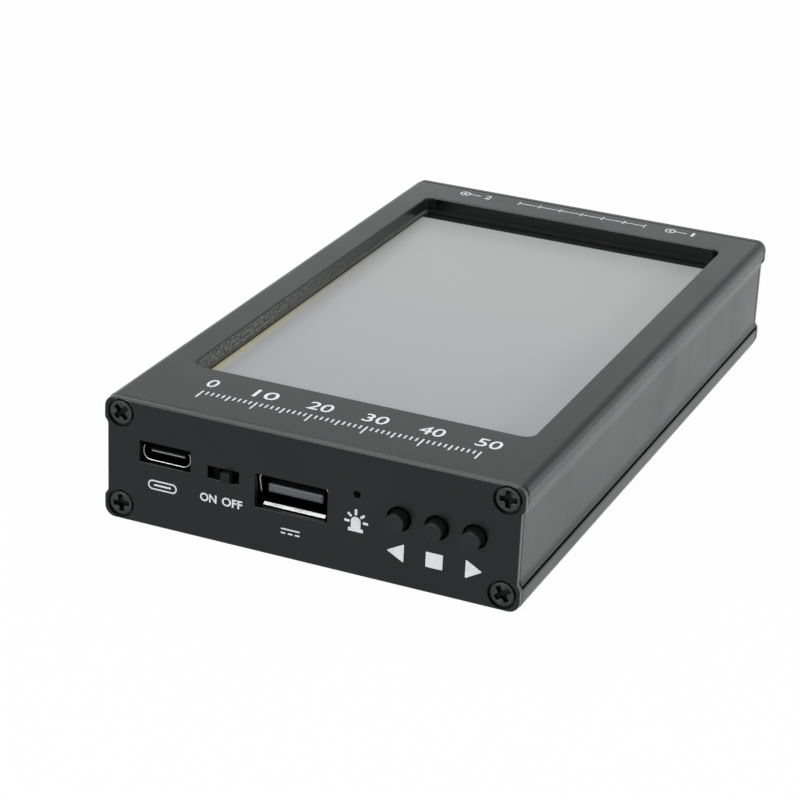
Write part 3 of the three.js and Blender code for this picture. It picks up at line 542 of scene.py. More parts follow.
# Each slot's finish, and after them the finishes of single pieces
finishes = {
    "anodised_aluminium": finish("blackAnodised", **anodised),
    "blackened_steel": finish("blackenedSteel", (0.04, 0.043, 0.043), (0.016, 0.017, 0.0175),
                              (0.34, 0.5), 4000, 900, depth=0.01, Metallic=0.6),
    "nickel_plate": finish("nickelPlate", (0.82, 0.81, 0.78), (0.6, 0.59, 0.56),
                           (0.16, 0.3), 2500, 300, (1, 0.15, 1), 0.004, Metallic=1.0),
    "gold_plate": finish("goldPlate", (0.86, 0.62, 0.27), (0.66, 0.44, 0.16),
                         (0.2, 0.34), 3000, 400, depth=0.004, Metallic=1.0),
    "plain_brass": finish("turnedBrass", (0.62, 0.47, 0.2), (0.44, 0.31, 0.12),
                          (0.3, 0.45), 3000, 300, (1, 1, 0.1), 0.006, Metallic=1.0),
    "tinned_steel": finish("tinnedSteel", (0.62, 0.63, 0.64), (0.45, 0.46, 0.47),
                           (0.3, 0.5), 2500, 200, depth=0.006, Metallic=1.0),
    "black_plastic": finish("blackPlastic", (0.006, 0.0063, 0.0066), (0.004, 0.0042, 0.0044),
                            (0.4, 0.55), 5000, 500, depth=0.012, Specular_IOR_Level=0.1),
    "grey_plastic": finish("greyPlastic", (0.2, 0.195, 0.22), (0.13, 0.13, 0.15),
                           (0.4, 0.55), 5000, 400, depth=0.01),
    "white_plastic": finish("whitePlastic", (0.72, 0.7, 0.64), (0.6, 0.58, 0.52),
                            (0.45, 0.6), 4000, 200, depth=0.01),
    "fluoropolymer": finish("fluoropolymer", (0.84, 0.83, 0.79), (0.72, 0.71, 0.66),
                            (0.35, 0.5), 3000, 300, depth=0.008, Subsurface_Weight=0.15,
                            Subsurface_Scale=0.001),
    "foam": gasketFinish(),
    "touch_film": filmFinish(),
    "display_glass": finish("displayGlass", (0.04, 0.045, 0.05), (0.02, 0.023, 0.026),
                            (0.05, 0.1), 1500, 60, depth=0.001),
    "circuit_board": finish("circuitBoard", (0.012, 0.05, 0.02), (0.005, 0.022, 0.01),
                            (0.35, 0.55), 3500, 350),
    "flex_circuit": finish("polyimide", (0.5, 0.2, 0.03), (0.3, 0.1, 0.012),
                           (0.25, 0.4), 2500, 200, depth=0.004),
    "chip_resin": finish("chipResin", (0.024, 0.024, 0.025), (0.012, 0.012, 0.013),
                         (0.55, 0.7), 6000, 500, depth=0.01),
    "cell_wrap": finish("cellPouch", (0.42, 0.44, 0.46), (0.3, 0.32, 0.34),
                        (0.3, 0.5), 1200, 60, depth=0.03, Metallic=0.5),
    "clear_resin": finish("milkyLens", (0.82, 0.8, 0.72), (0.66, 0.63, 0.54),
                          (0.2, 0.35), 3000, 500, depth=0.004, Transmission_Weight=0.2),
    "red_lead": finish("redLead", (0.42, 0.02, 0.015), (0.28, 0.01, 0.008),
                       (0.4, 0.55), 3000, 300, depth=0.01),
    "black_lead": finish("blackLead", (0.016, 0.016, 0.016), (0.008, 0.008, 0.008),
                         (0.4, 0.55), 3000, 300, depth=0.01),
    "midPlate": finish("midPlate", (0.36, 0.36, 0.37), (0.28, 0.28, 0.29),
                       (0.3, 0.45), 2500, 200, depth=0.004, Metallic=1.0),
    "print": finish("whitePrint", (0.66, 0.675, 0.68), (0.5, 0.515, 0.52),
                    (0.55, 0.7), 5000, 900, depth=0.006),
    "lid": lidFinish(),
    "panel": panelFinish(),
    "screw": screwFinish(64.6),
    "chargeShell": shellFinish("chargeShellPlate", -64.05),
    "hostShell": shellFinish("hostShellPlate", -63.3),
    "hostTongue": tongueFinish(-63.05),
    # painted light: the lighter colours of the caps' and the knob's faces
    "cap": capFinish("capPlastic", -66.95, (0.018, 0.0195, 0.02)),
    "knob": capFinish("knobPlastic", -65.88, (0.0165, 0.0177, 0.018)),
}
for subpart in frame["record"]["subparts"]:
    node = frame["nodes"][subpart["node"]]
    node.data.materials.clear()
    node.data.materials.append(finishes[subpart["material_slot"]])
print("materials made:", len(finishes))


# Housing

housing = {
    "width": 75, "length": 130, "height": 22, "panel": 1.1, "lid": 2.4,
    "endRound": 0.25, "endGap": 0.18, "panelRound": 0.3, "panelBreak": 0.04,
    "windowX": 31.1, "windowFront": -46.4, "windowRear": 55.2, "windowRadius": 2, "windowEdge": 0.3,
    "screwX": 34.45, "screwUpper": 19.4, "screwLower": 2.8, "bore": 1.05, "boreSink": 0.2,
    "boreSinkDepth": 0.3, "hole": 1.25,
}
panelFace = housing["length"] / 2
shellLength = housing["length"] - 2 * housing["panel"] - 2 * housing["endGap"]
screwRows = {"upper": housing["screwUpper"], "lower": housing["screwLower"]}
screwSides = {"left": -1, "right": 1}


# The screws' two bores at one height of a shell
def bores(height, edge):
    return [(circle(side * housing["screwX"], height, housing["bore"], 24), edge) for side in (-1, 1)]


# Lid: its section is carried along y, and the roof's upper and lower faces take the window's outline as
# a hole, with the window's own wall between them.
def makeLid():
    half = [
        (37.5, 22, 2.65), (37.5, 18.7, 3.5), (36.9, 16.8, 3.5), (36.9, 5.7, 3), (36.98, 5, 2),
        (37.36, 4.27, 0.1), (35.9, 4.2), (35.9, 5.6), (35.4, 6.1), (35.4, 7.95), (34.2, 7.95), (34.2, 9.05),
        (35.4, 9.05), (35.4, 10.85), (34.2, 10.85), (34.2, 11.95), (35.4, 11.95), (35.4, 17.3), (32.6, 17.3),
        (32.6, 19.6),
    ]
    along = bothEdges(housing["endRound"], shellLength, 2)
    place = rearwards(-shellLength / 2)
    form = newForm()
    rings = carried(outline(mirrored(half), 12), along, False)
    index = addPoints(form, place(rings))
    middle = len(along) // 2 - 1
    levels = (housing["height"], housing["height"] - housing["lid"])
    isRoof, isCeiling = (np.isclose(rings[middle, :, 1], height) for height in levels)
    for flat in (isRoof, isCeiling):
        flat &= np.roll(flat, -1)
    addRows(form, index[:middle + 1])
    addRows(form, index[middle + 1:])
    quads = quadsBetween(index[middle], index[middle + 1])
    addFaces(form, quads[~(isRoof | isCeiling)], True)
    sink, deep = housing["boreSink"], housing["boreSinkDepth"]
    sunk = [(sink, 0), (0, deep), (0, shellLength - deep), (sink, shellLength)]
    holes = []
    for points, edge in bores(screwRows["upper"], sunk):
        bore = carried(points, edge, True)
        holes.append((addPoints(form, place(bore)), bore))
        addRows(form, holes[-1][0])
    for end in (0, -1):
        addCap(form, [(ring[end], flat[end, :, :2]) for ring, flat in [(index, rings), *holes]])
    window = span(-housing["windowX"], housing["windowFront"], housing["windowX"], housing["windowRear"],
                  housing["windowRadius"], 12)
    wall = carried(window, roundEdge(housing["windowEdge"], 4) + [(0, housing["lid"])], True)
    wallIndex = addPoints(form, downwards(housing["height"])(wall))
    addRows(form, wallIndex)
    points = np.concatenate(form["points"])
    for flat, ring, flatRing in ((isRoof, wallIndex[0], wall[0]), (isCeiling, wallIndex[-1], wall[-1])):
        corner = quads[flat][0]
        addCap(form, [(corner, points[corner][:, :2]), (ring, flatRing[:, :2])])
    makePiece("topShell", form, "anodised_aluminium", ["top_shell"], finishes["lid"])


# The bottom shell: its section carried along y, with the lower screws' bores at its ends
def makeFloor():
    half = [
        (32.6, 1.8), (32.6, 4.65, 0.6), (35.6, 4.65, 0.6), (35.6, 3.75), (37.4, 3.75, 0.12),
        (37.5, 3.45, 0.3), (37.5, 0, 2.65),
    ]
    section = (outline(mirrored(half), 12), bothEdges(housing["endRound"], shellLength, 2))
    holes = bores(screwRows["lower"], [(0, 0), (0, shellLength)])
    form = addPlate(newForm(), [section, *holes], rearwards(-shellLength / 2))
    makePiece("bottomShell", form, "anodised_aluminium", ["bottom_shell"])


# A panel: the plate's outline, its countersunk screw holes and its other openings. Its outer rim is rounded
# from just past the face's own plane, so that the face stays flat to its edge.
def makePanel(name, others, place, node):
    thick, small = housing["panel"], housing["panelBreak"]
    half = [(37.5, 22, 2.65), (37.5, 18, 1), (36.9, 17.2, 0.8), (36.9, 4.8, 0.8), (37.5, 4, 1), (37.5, 0, 2.65)]
    rim = roundEdge(housing["panelRound"], 8)[1:]
    rim = [(inset, depth - rim[0][1]) for inset, depth in rim] + [(0, thick - small), (small, thick)]
    sink = [(1.27, 0), (1.24, 0.03), (1.24, 0.85), (0.35, 0.85), (0.2, 1), (0.2, thick)]
    spots = [(side * housing["screwX"], height) for side in (-1, 1) for height in screwRows.values()]
    loops = [(outline(mirrored(half), 12), rim)] + [(circle(x, z, housing["hole"]), sink) for x, z in spots]
    loops += [(points, roundEdge(size, 2) + [(0, thick)]) for points, size in others]
    form = addPlate(newForm(), loops, place)
    makePiece(name, form, "anodised_aluminium", [node], finishes["panel"], sharp=14)


controls = {
    "charge": (-26.08, 13.3), "switch": (-15.25, 12.38), "host": (-2.9, 11.06), "light": (8.78, 14.42),
    "buttons": {"left": 16.25, "middle": 22.8, "right": 29.35}, "buttonHeight": 11.85,
    "jacks": {"left": -22, "right": 22}, "jackHeight": 11,
}
openings = {
    "charge": (9.54, 3.86, 0.12, 3), "switch": (5.8, 2.25, 0.1, 3), "host": (13.1, 6, 0.15, 3),
    "light": 0.65, "button": 2.1, "jack": 3.3,
}
openingEdges = {"charge": 0.06, "switch": 0.05, "host": 0.06, "light": 0.05, "button": 0.08, "jack": 0.06}


# A row of equal round openings at one height
def roundOpenings(kind, places, height):
    return [(circle(x, height, openings[kind], 64), openingEdges[kind]) for x in places]


def makePanels():
    front = []
    for key in ("charge", "switch", "host"):
        front.append((rectangle(*controls[key], *openings[key]), openingEdges[key]))
    front.append((circle(*controls["light"], openings["light"], 32), openingEdges["light"]))
    front += roundOpenings("button", controls["buttons"].values(), controls["buttonHeight"])
    rear = roundOpenings("jack", controls["jacks"].values(), controls["jackHeight"])
    makePanel("frontPanelPlate", front, rearwards(-panelFace), "front_panel")
    makePanel("rearPanelPlate", rear, forwards(panelFace), "rear_panel")


screw = {
    "head": 2.06, "core": 0.95, "length": 8, "sink": 0.15, "rim": 0.16, "tip": 0.4,
    "armLength": 1.5, "armWidth": 0.46, "armRound": 0.12, "recess": 1.0, "recessEdge": 0.07, "taper": -0.1,
    "innerRound": 0.4, "turns": {"upper_left": 42, "lower_left": 8, "upper_right": 0, "lower_right": 37},
    "rearTurn": 25,
}


# A countersunk screw: the head's circle drawn in along its cone and shank, with a tapered cross recess
def makeScrew(name, place, node, turn):
    a, w, tip = screw["armLength"], screw["armWidth"], screw["armRound"]
    quarter = np.array([(a, -w), (a, w), (w, w)])  # one arm's end and the corner after it
    rounds = (tip, tip, screw["innerRound"])
    corners = [(*at, r) for angle in (0, 90, 180, 270) for at, r in zip(turned(quarter, angle), rounds)]
    cone, length, point = screw["head"] - screw["core"], screw["length"], screw["tip"]
    shank = [(cone, cone + screw["rim"]), (cone, length - point), (cone + point, length)]
    edge = roundEdge(screw["rim"]) + shank
    recess = roundEdge(screw["recessEdge"], 2) + [(screw["taper"], screw["recess"])]
    cross = turned(outline(corners, 5), turn)
    form = addPlate(newForm(), [(circle(0, 0, screw["head"]), edge), (cross, recess, "blind")], place)
    makePiece(name, form, "blackened_steel", [node], finishes["screw"])


makeLid()
makeFloor()
makePanels()
for level, height in screwRows.items():
    for side, sign in screwSides.items():
        label, x = f"{level}_{side}", sign * housing["screwX"]
        turn, depth = screw["turns"][label], panelFace - screw["sink"]
        makeScrew(f"frontScrew_{label}", rearwards(-depth, x, height), f"front_screw_{label}", turn)
        turn = screw["rearTurn"] - turn
        makeScrew(f"rearScrew_{label}", forwards(depth, x, height), f"rear_screw_{label}", turn)
print("housing made")


# Window: the display's film under the lid

display = {
    "x": 32.2, "front": -48.1, "rear": 56.9, "top": 18.7, "film": 1.1, "radius": 1.6, "edge": 0.08,
}


def makeDisplay():
    sheet = span(-display["x"], display["front"], display["x"], display["rear"], display["radius"], 6)
    form = addSlab(newForm(), sheet, display["edge"], display["film"], downwards(display["top"]), 3)
    makePiece("displayFilm", form, "touch_film", ["touch_panel"])


makeDisplay()
print("window made")


# Sockets on the port board: every shell is a tube whose lips are rolled round

sockets = {
    "charge": {
        "width": 8.94, "height": 3.26, "radius": 1.45, "wall": 0.3, "lip": 0.2, "front": -64.3, "rear": -57,
        "setback": 1.8, "setbackFrom": 1, "setbackBlend": 0.3,
    },
    "chargeTongue": {
        "width": 6.7, "height": 0.7, "front": -63.8, "rear": -57.3, "pads": 12, "pitch": 0.5, "padWidth": 0.26,
        "padStart": -61.2, "padEnd": -59.2, "proud": 0.03,
    },
    "midPlate": {"width": 6.2, "height": 0.2, "proud": 0.04, "depth": 2},
    "host": {
        "width": 12.7, "height": 5.6, "radius": 0.9, "wall": 0.3, "lip": 0.3, "front": -64, "rear": -50.9,
        "setback": 1, "setbackFrom": -1.6, "setbackBlend": -0.3,
    },
    "hostFlare": {
        "left": -5.45, "right": 5.75, "low": -2.8, "edge": 0.1, "rise": 0.56, "ramp": 0.4, "depth": 1.2,
    },
    "hostTongue": {
        "width": 10, "height": 1.6, "rise": 0.1, "front": -63.3, "rear": -51.2, "pads": 4, "pitch": 2.33,
        "padWidth": 1.0, "padStart": -62.5, "padEnd": -55, "proud": 0.05,
    },
    "spring": {"width": 1.7, "thick": 0.18, "bow": 0.4, "front": -62.2, "rear": -56.5, "offsets": (-3.3, 3.3)},
    "leg": {"x": 6, "y": -51.9, "width": 0.7, "length": 1.6, "top": 14.9, "tall": 1.1},
}


# A socket's shell: rounded outline outside and inside, joined by a half-round lip. The lip's upper or lower
# part stands back by the set-back times a smooth step of the height.
def addSocketShell(form, values, centre):
    x, z = centre
    wall, width, height = values["wall"], values["width"], values["height"]
    length = values["rear"] - values["front"]
    lip = values["lip"] / 2
    t = np.linspace(0, np.pi, 9)
    sweep = [(0, length - 0.05)] + [(lip * (1 - cos(a)), lip * (1 - sin(a))) for a in t]
    sweep += [(2 * lip - 0.4 * (2 * lip - wall), lip + 0.5), (wall + 0.001, lip + 1)]
    sweep += [(wall, length - 0.05), (wall - 0.05, length), (0.05, length)]
    rings = carried(rectangle(0, 0, width, height, values["radius"], 10), sweep, False)
    share = np.clip((rings[..., 1] - values["setbackFrom"]) / values["setbackBlend"], 0, 1)
    front = np.clip(1 - rings[..., 2] / 3, 0, 1)
    rings[..., 2] += values["setback"] * share * share * (3 - 2 * share) * front
    addRows(form, addPoints(form, rearwards(values["front"], x, z)(rings)), joined=True)
    play = 2 * wall + 0.04
    back = rectangle(0, 0, width - play, height - play, values["radius"] * 0.75, 8)
    return addSlab(form, back, 0.04, wall, rearwards(values["rear"] - wall - 0.02, x, z))


# A contact spring of a shell: its height over the length follows the bow times sin of the share, and it
# is a closed strip of even thickness.
def addSpring(form, x, z, inward):
    spring = sockets["spring"]
    share = np.linspace(0, 1, 17)[:, None]
    y = spring["front"] + (spring["rear"] - spring["front"]) * share
    lift = 0.02 + spring["bow"] * np.sin(np.pi * share ** 1.4)
    across = np.array([-1, 1, 1, -1]) * spring["width"] / 2
    thick = np.array([0, 0, 1, 1]) * spring["thick"]
    strip = np.broadcast_arrays(x + across, y, z + inward * (lift + thick))
    index = addPoints(form, np.stack(strip, -1))
    addRows(form, index)
    addFaces(form, [index[0], index[-1]], False)


# The host socket's lower wall: its lip flares towards its edge, drawn as its section from front to rear
def addFlare(form, x, z):
    flare, front = sockets["hostFlare"], sockets["host"]["front"]
    low, top, back = flare["low"], flare["low"] + flare["rise"], front + flare["depth"]
    section = outline([(front, low, 0.04), (back, low), (back, top), (front + flare["ramp"], top, 0.2),
                       (front, low + flare["edge"], 0.04)], 4)
    addSlab(form, section, 0.05, flare["right"] - flare["left"], rightwards(x + flare["left"], 0, z))


def makeShells():
    form = addSocketShell(newForm(), sockets["charge"], controls["charge"])
    makePiece("chargeShell", form, "nickel_plate", ["charge_socket_shell"], finishes["chargeShell"])
    x, z = controls["host"]
    form = addSocketShell(newForm(), sockets["host"], (x, z))
    inner = sockets["host"]["height"] / 2 - sockets["host"]["wall"]
    for offset in sockets["spring"]["offsets"]:
        addSpring(form, x + offset, z - inner, 1)
        addSpring(form, x + offset, z + inner, -1)
    leg = sockets["leg"]
    for side in (-1, 1):
        foot = rectangle(x + side * leg["x"], leg["y"], leg["width"], leg["length"], 0.1, 3)
        addSlab(form, foot, 0.04, leg["tall"], downwards(leg["top"]))
    addFlare(form, x, z)
    makePiece("hostShell", form, "nickel_plate", ["host_socket_shell"], finishes["hostShell"])


# A tongue: a thin blade with rounded edges, with contact strips on the chosen faces
def makeTongue(name, centre, slot, node, faces, material=None):
    values = sockets[name]
    x, z = centre
    z += values.get("rise", 0)
    half, front, proud = values["height"] / 2, values["front"], values["proud"]
    blade = rectangle(0, 0, values["width"], values["height"], min(0.3, half * 0.7), 5)
    form = addSlab(newForm(), blade, half * 0.45, values["rear"] - front, rearwards(front, x, z), 3)
    makePiece(name, form, slot, [node], material)
    pads = newForm()
    start, end, width = values["padStart"], values["padEnd"], values["padWidth"]
    for number in range(values["pads"]):
        middle = x + (number - (values["pads"] - 1) / 2) * values["pitch"]
        for side in faces:
            strip = rectangle(middle, (start + end) / 2, width, end - start, width * 0.3, 3)
            addSlab(pads, strip, proud * 0.4, 2 * proud, downwards(z + side * half + proud))
    makePiece(name + "Contacts", pads, "gold_plate")


# The charging tongue's steel plate, which shows as a line across its nose
def makeMidPlate():
    plate = sockets["midPlate"]
    nose = rectangle(0, 0, plate["width"], plate["height"], 0.06, 3)
    place = rearwards(sockets["chargeTongue"]["front"] - plate["proud"], *controls["charge"])
    makePiece("chargeTonguePlate", addSlab(newForm(), nose, 0.03, plate["depth"], place), "tinned_steel",
              material=finishes["midPlate"])


makeShells()
makeTongue("chargeTongue", controls["charge"], "black_plastic", "charge_socket_tongue", (-1, 1))
makeTongue("hostTongue", controls["host"], "grey_plastic", "host_socket_tongue", (-1,), finishes["hostTongue"])
makeMidPlate()
print("sockets made")


# Controls: slide switch, push buttons and the status light

knob = {
    "restX": -14.5, "width": 1.5, "tall": 1.8, "front": -66.1, "neckRear": -62.15,
    "carriageFront": -62.35, "carriageRear": -61.15, "carriageWidth": 3.2, "carriageTall": 2.6,
    "groove": 0.13, "grooves": (-0.4, 0, 0.4),
}


# The slide knob seen from above: its front edge dips by a half-round groove at each grip line, and it
# widens into the carriage behind the panel. The outline is carried down its height.
def makeKnob():
    half, front, rear = knob["width"] / 2, knob["front"], knob["neckRear"]
    size, t = knob["groove"], np.linspace(0, np.pi, 7)
    dips = [(x - size * cos(a), front + size * sin(a)) for x in knob["grooves"] for a in t]
    grip = outline([(-half, front, 0.16), *dips, (half, front, 0.16), (half, rear), (-half, rear)], 4)
    x, height = knob["restX"], controls["switch"][1]
    form = addSlab(newForm(), grip, 0.05, knob["tall"], downwards(height + knob["tall"] / 2, x), 3)
    carriage = rectangle(x, height, knob["carriageWidth"], knob["carriageTall"], 0.15, 3)
    deep = knob["carriageRear"] - knob["carriageFront"]
    addSlab(form, carriage, 0.08, deep, rearwards(knob["carriageFront"]))
    makePiece("switchKnob", form, "black_plastic", ["power_switch_knob"], finishes["knob"], "power_switch")


button = {
    "radius": 1.65, "front": -67.1, "round": 0.32, "crown": 0.05, "flangeRadius": 2.05, "flangeFront": -62.4,
    "flangeEdge": 0.05, "rear": -61.7,
}


# A button cap: its profile turned round the pressing axis. The face is a shallow crown, radius
# r gives depth crown * (r / R)^2, and its rim is a quarter circle.
def makeButton(side, x):
    radius, rim, crown, front = (button[key] for key in ("radius", "round", "crown", "front"))
    flange, edge = button["flangeRadius"], button["flangeEdge"]
    start, end = button["flangeFront"] - front, button["rear"] - front
    middle = np.linspace(0, radius - rim, 6)
    t = np.linspace(0, np.pi / 2, 7)[1:]
    tail = [(radius, start), (flange - edge, start), (flange, start + edge), (flange, end), (0, end)]
    r = np.concatenate([middle, radius - rim + rim * np.sin(t), [r for r, _ in tail]])
    depth = [crown * (middle / middle[-1]) ** 2, crown + rim * (1 - np.cos(t)), [depth for _, depth in tail]]
    form = addSwung(newForm(), r, np.concatenate(depth), rearwards(front, x, controls["buttonHeight"]))
    cap = f"{side}ButtonCap"
    makePiece(cap, form, "black_plastic", [f"button_{side}"], finishes["cap"], f"{side}_button")


statusLight = {
    "front": -62.9, "rear": -62, "width": 1.6, "tall": 1.02, "lens": 0.42, "dome": 0.22, "sunk": 0.1,
}


# The status light: a moulded block with a domed lens on its face, depth -dome * sqrt(1 - (r / R)^2)
def makeStatusLight():
    front, lens, sunk = statusLight["front"], statusLight["lens"], statusLight["sunk"]
    block = rectangle(*controls["light"], statusLight["width"], statusLight["tall"], 0.06, 2)
    form = addSlab(newForm(), block, 0.04, statusLight["rear"] - front, rearwards(front))
    t = np.linspace(0, np.pi / 2, 6)
    r = np.concatenate([lens * np.sin(t), [lens, 0]])
    depth = np.concatenate([-statusLight["dome"] * np.cos(t), [sunk, sunk]])
    addSwung(form, r, depth, rearwards(front, *controls["light"]), 24)
    makePiece("statusLens", form, "clear_resin", ["status_light"])


makeKnob()
for buttonSide, buttonX in controls["buttons"].items():
    makeButton(buttonSide, buttonX)
makeStatusLight()
print("controls made")


# Print on the panel and the lid: thin plates of white ink

ink = {"thick": 0.03, "sunk": 0.01, "edge": 0.012}
onPanel = rearwards(-panelFace - ink["thick"])
onLid = downwards(housing["height"] + ink["thick"])


# A sign made of flat outlines, each alone or as a list with its holes
def addSign(form, shapes, place):
    deep = ink["thick"] + ink["sunk"]
    for shape in shapes:
        solid, *holes = shape if isinstance(shape, list) else [shape]
        loops = [(solid, [(ink["edge"], 0), (0, ink["edge"]), (0, deep)])]
        addPlate(form, loops + [(hole, [(0, 0), (0, deep)]) for hole in holes], place)


# Letters and figures: the built-in face, narrowed or widened, made into a mesh and then laid flat
def addWords(form, words, x, low, width, height, place, bold=0.0):
    curve = bpy.data.curves.new("words", "FONT")
    curve.body = words
    curve.offset = bold
    curve.extrude = 1
    curve.resolution_u = 6
    holder = linked("words", curve)
    bpy.context.view_layer.update()
    mesh = bpy.data.meshes.new_from_object(holder)
    points = np.empty(len(mesh.vertices) * 3)
    mesh.vertices.foreach_get("co", points)
    points = points.reshape(-1, 3)
    share = (points - points.min(0)) / (points.max(0) - points.min(0))
    depth = (1 - share[:, 2]) * (ink["thick"] + ink["sunk"])
    index = addPoints(form, place(np.stack([x + share[:, 0] * width, low + share[:, 1] * height, depth], -1)))
    form["faces"] += [index[list(polygon.vertices)].tolist() for polygon in mesh.polygons]
    form["smooth"] += [False] * len(mesh.polygons)
    bpy.data.objects.remove(holder)
    bpy.data.curves.remove(curve)
    bpy.data.meshes.remove(mesh)


# A short bar from one point to another, with round corners
def bar(x1, y1, x2, y2, width, radius=0.0):
    start, end = np.array([x1, y1]), np.array([x2, y2])
    along = unit(end - start)
    across = np.array([-along[1], along[0]]) * width / 2
    corners = (start - across, end - across, end + across, start + across)
    return outline([(*corner, radius) for corner in corners], 4)


signs = {
    "beacon": {
        "x": 8.76, "low": 7.81, "baseTop": 8.43, "domeTop": 10.46, "baseHalf": 1.34, "domeHalf": 0.86,
        "rayWidth": 0.44, "rayRound": 0.14,
        "rays": ((6.7, 9.57, 7.66, 9.54), (7.32, 11.0, 7.97, 10.4), (8.74, 11.82, 8.75, 10.74),
                 (10.28, 11.0, 9.58, 10.38), (10.95, 9.6, 10.0, 9.6)),
    },
    "back": [(14.35, 5.95, 0.12), (17.35, 4.3, 0.12), (17.35, 7.6, 0.12)],
    "square": (21.18, 4.58, 24.13, 7.26, 0.1),
    "ahead": [(28.05, 4.2, 0.12), (30.95, 5.9, 0.12), (28.05, 7.52, 0.12)],
    "words": {"ON": (-19.46, 6.9, 3.05, 1.5), "OFF": (-15.4, 6.88, 3.75, 1.55)}, "bold": 0.022,
    "socket": {"at": (-26.5, 7.7), "outside": (5.4, 1.75, 0.87, 8), "inside": (4.9, 1.25, 0.62, 8),
               "tongue": (3.2, 0.32, 0.1, 3)},
    "current": {"line": (-4.55, 5.15, -1.15, 5.42), "dashes": (-4.55, -3.28, -2.01), "dash": 0.86,
                "dashLow": 4.42, "dashTop": 4.69},
}


# The beacon: a lamp's dome on its base, with five rays round it
def beaconShapes():
    beacon = signs["beacon"]
    x, half, wide = beacon["x"], beacon["domeHalf"], beacon["baseHalf"]
    low, step, top = beacon["low"], beacon["baseTop"], beacon["domeTop"]
    lamp = [(x - wide, low, 0.06), (x + wide, low, 0.06), (x + wide, step, 0.06), (x + half, step, 0.05),
            (x + half, top, 0.8), (x - half, top, 0.8), (x - half, step, 0.05), (x - wide, step, 0.06)]
    return [outline(lamp, 6)] + [bar(*ray, beacon["rayWidth"], beacon["rayRound"]) for ray in beacon["rays"]]


# The panel's signs: besides the beacon, the buttons' marks, ON and OFF, a socket with its tongue, and direct
# current as a full line over three dashes
def makePanelSigns():
    form = newForm()
    addSign(form, beaconShapes(), onPanel)
    addSign(form, [outline(signs["back"], 5), span(*signs["square"], 4), outline(signs["ahead"], 5)], onPanel)
    for words, box in signs["words"].items():
        addWords(form, words, *box, onPanel, signs["bold"])
    socket = signs["socket"]
    pill, hollow, tongue = (rectangle(*socket["at"], *socket[key]) for key in ("outside", "inside", "tongue"))
    current = signs["current"]
    length, low, top = (current[key] for key in ("dash", "dashLow", "dashTop"))
    dashes = [span(x, low, x + length, top, 0.05, 2) for x in current["dashes"]]
    addSign(form, [[pill, hollow], tongue, span(*current["line"], 0.05, 2), *dashes], onPanel)
    makePiece("panelSigns", form, material=finishes["print"])


scale = {
    "left": -24, "step": 1, "count": 51, "low": -58.4, "short": 1.3, "middle": 2.0, "long": 2.9, "line": 0.3,
    "figureLow": -53.6, "figureHeight": 3.1, "figureWidth": 1.9, "figureGap": 0.5, "bold": 0.005,
}
portSign = {
    "offset": -3.2, "y": 61, "ring": 1.1, "ringBore": 0.84, "dot": 0.34, "line": (1.05, 3.4),
    "lineWidth": 0.24, "figure": 4.4, "figureHeight": 2, "figures": {"2": ("left", 1.3), "1": ("right", 0.55)},
}
farLine = {"half": 13.5, "y": 61, "ticks": (-13.4, -9, -4.5, 0, 4.5, 9, 13.4), "tick": 0.9, "width": 0.22}


# A plain ruler along the lid's front rim, with figures every ten marks
def addRuler(form):
    half, top = scale["line"] / 2, scale["low"] + scale["long"]
    for number in range(scale["count"]):
        x = scale["left"] + number * scale["step"]
        tall = scale["long" if number % 10 == 0 else "middle" if number % 5 == 0 else "short"]
        addSign(form, [span(x - half, top - tall, x + half, top, 0.05, 2)], onLid)
        if number % 10 == 0:
            words = str(number)
            width = scale["figureWidth"] * len(words) + scale["figureGap"] * (len(words) - 1)
            box = (x - width / 2, scale["figureLow"], width, scale["figureHeight"])
            addWords(form, words, *box, onLid, scale["bold"])


# The lid's signs: the ruler, a coaxial sign with its figure at each jack, and a plain scale line between them
def makeLidSigns():
    form = newForm()
    addRuler(form)
    y = portSign["y"]
    start, end = portSign["line"]
    for words, (side, width) in portSign["figures"].items():
        centre = controls["jacks"][side] + portSign["offset"]
        ring = [circle(centre, y, portSign["ring"], 32), circle(centre, y, portSign["ringBore"], 32)]
        line = bar(centre + start, y, centre + end, y, portSign["lineWidth"])
        addSign(form, [ring, circle(centre, y, portSign["dot"], 20), line], onLid)
        tall = portSign["figureHeight"]
        addWords(form, words, centre + portSign["figure"], y - tall / 2, width, tall, onLid)
    half, y, tick, width = (farLine[key] for key in ("half", "y", "tick", "width"))
    ticks = [bar(x, y - tick, x, y + tick, width) for x in farLine["ticks"]]
    addSign(form, [bar(-half, y, half, y, width), *ticks], onLid)
    makePiece("lidSigns", form, material=finishes["print"])


makePanelSigns()
makeLidSigns()
print("signs made")


# Coaxial jacks: their depths count outwards from the rear panel's inner face

jack = {
    "face": 63.5, "flange": 6.4, "flangeThick": 1.6, "barrel": 3.1, "end": 11,
    "chamfer": 0.45, "bore": 2.1, "mouth": 2.3, "mouthEdge": 0.2, "mouthDepth": 1.9,
    "pitch": 0.7056, "threadDepth": 0.33, "threadStart": 1.9, "threadSteps": 132, "fadeIn": 0.5,
    "fadeOut": 0.35, "insulator": 2.0, "contact": 0.6, "tail": 0.3, "tailEnd": -5.6, "step": -1.6,
    "socket": 0.45, "socketDepth": 3, "slot": 0.12, "slotDepth": 1.1, "washer": 4.7, "washerBore": 3.3,
    "washerStart": 1.5, "washerEnd": 2, "nutApothem": 4.0, "nutEnd": 4, "nutBore": 3.3, "nutBoreEdge": 0.15,
    "legX": 2.65, "legY": 59.95, "legWidth": 1.1, "legLength": 4, "legLevels": (-1.45, -3.05),
}


def jackPlace(x, depth=0):
    return rearwards(jack["face"] + depth, x, controls["jackHeight"])


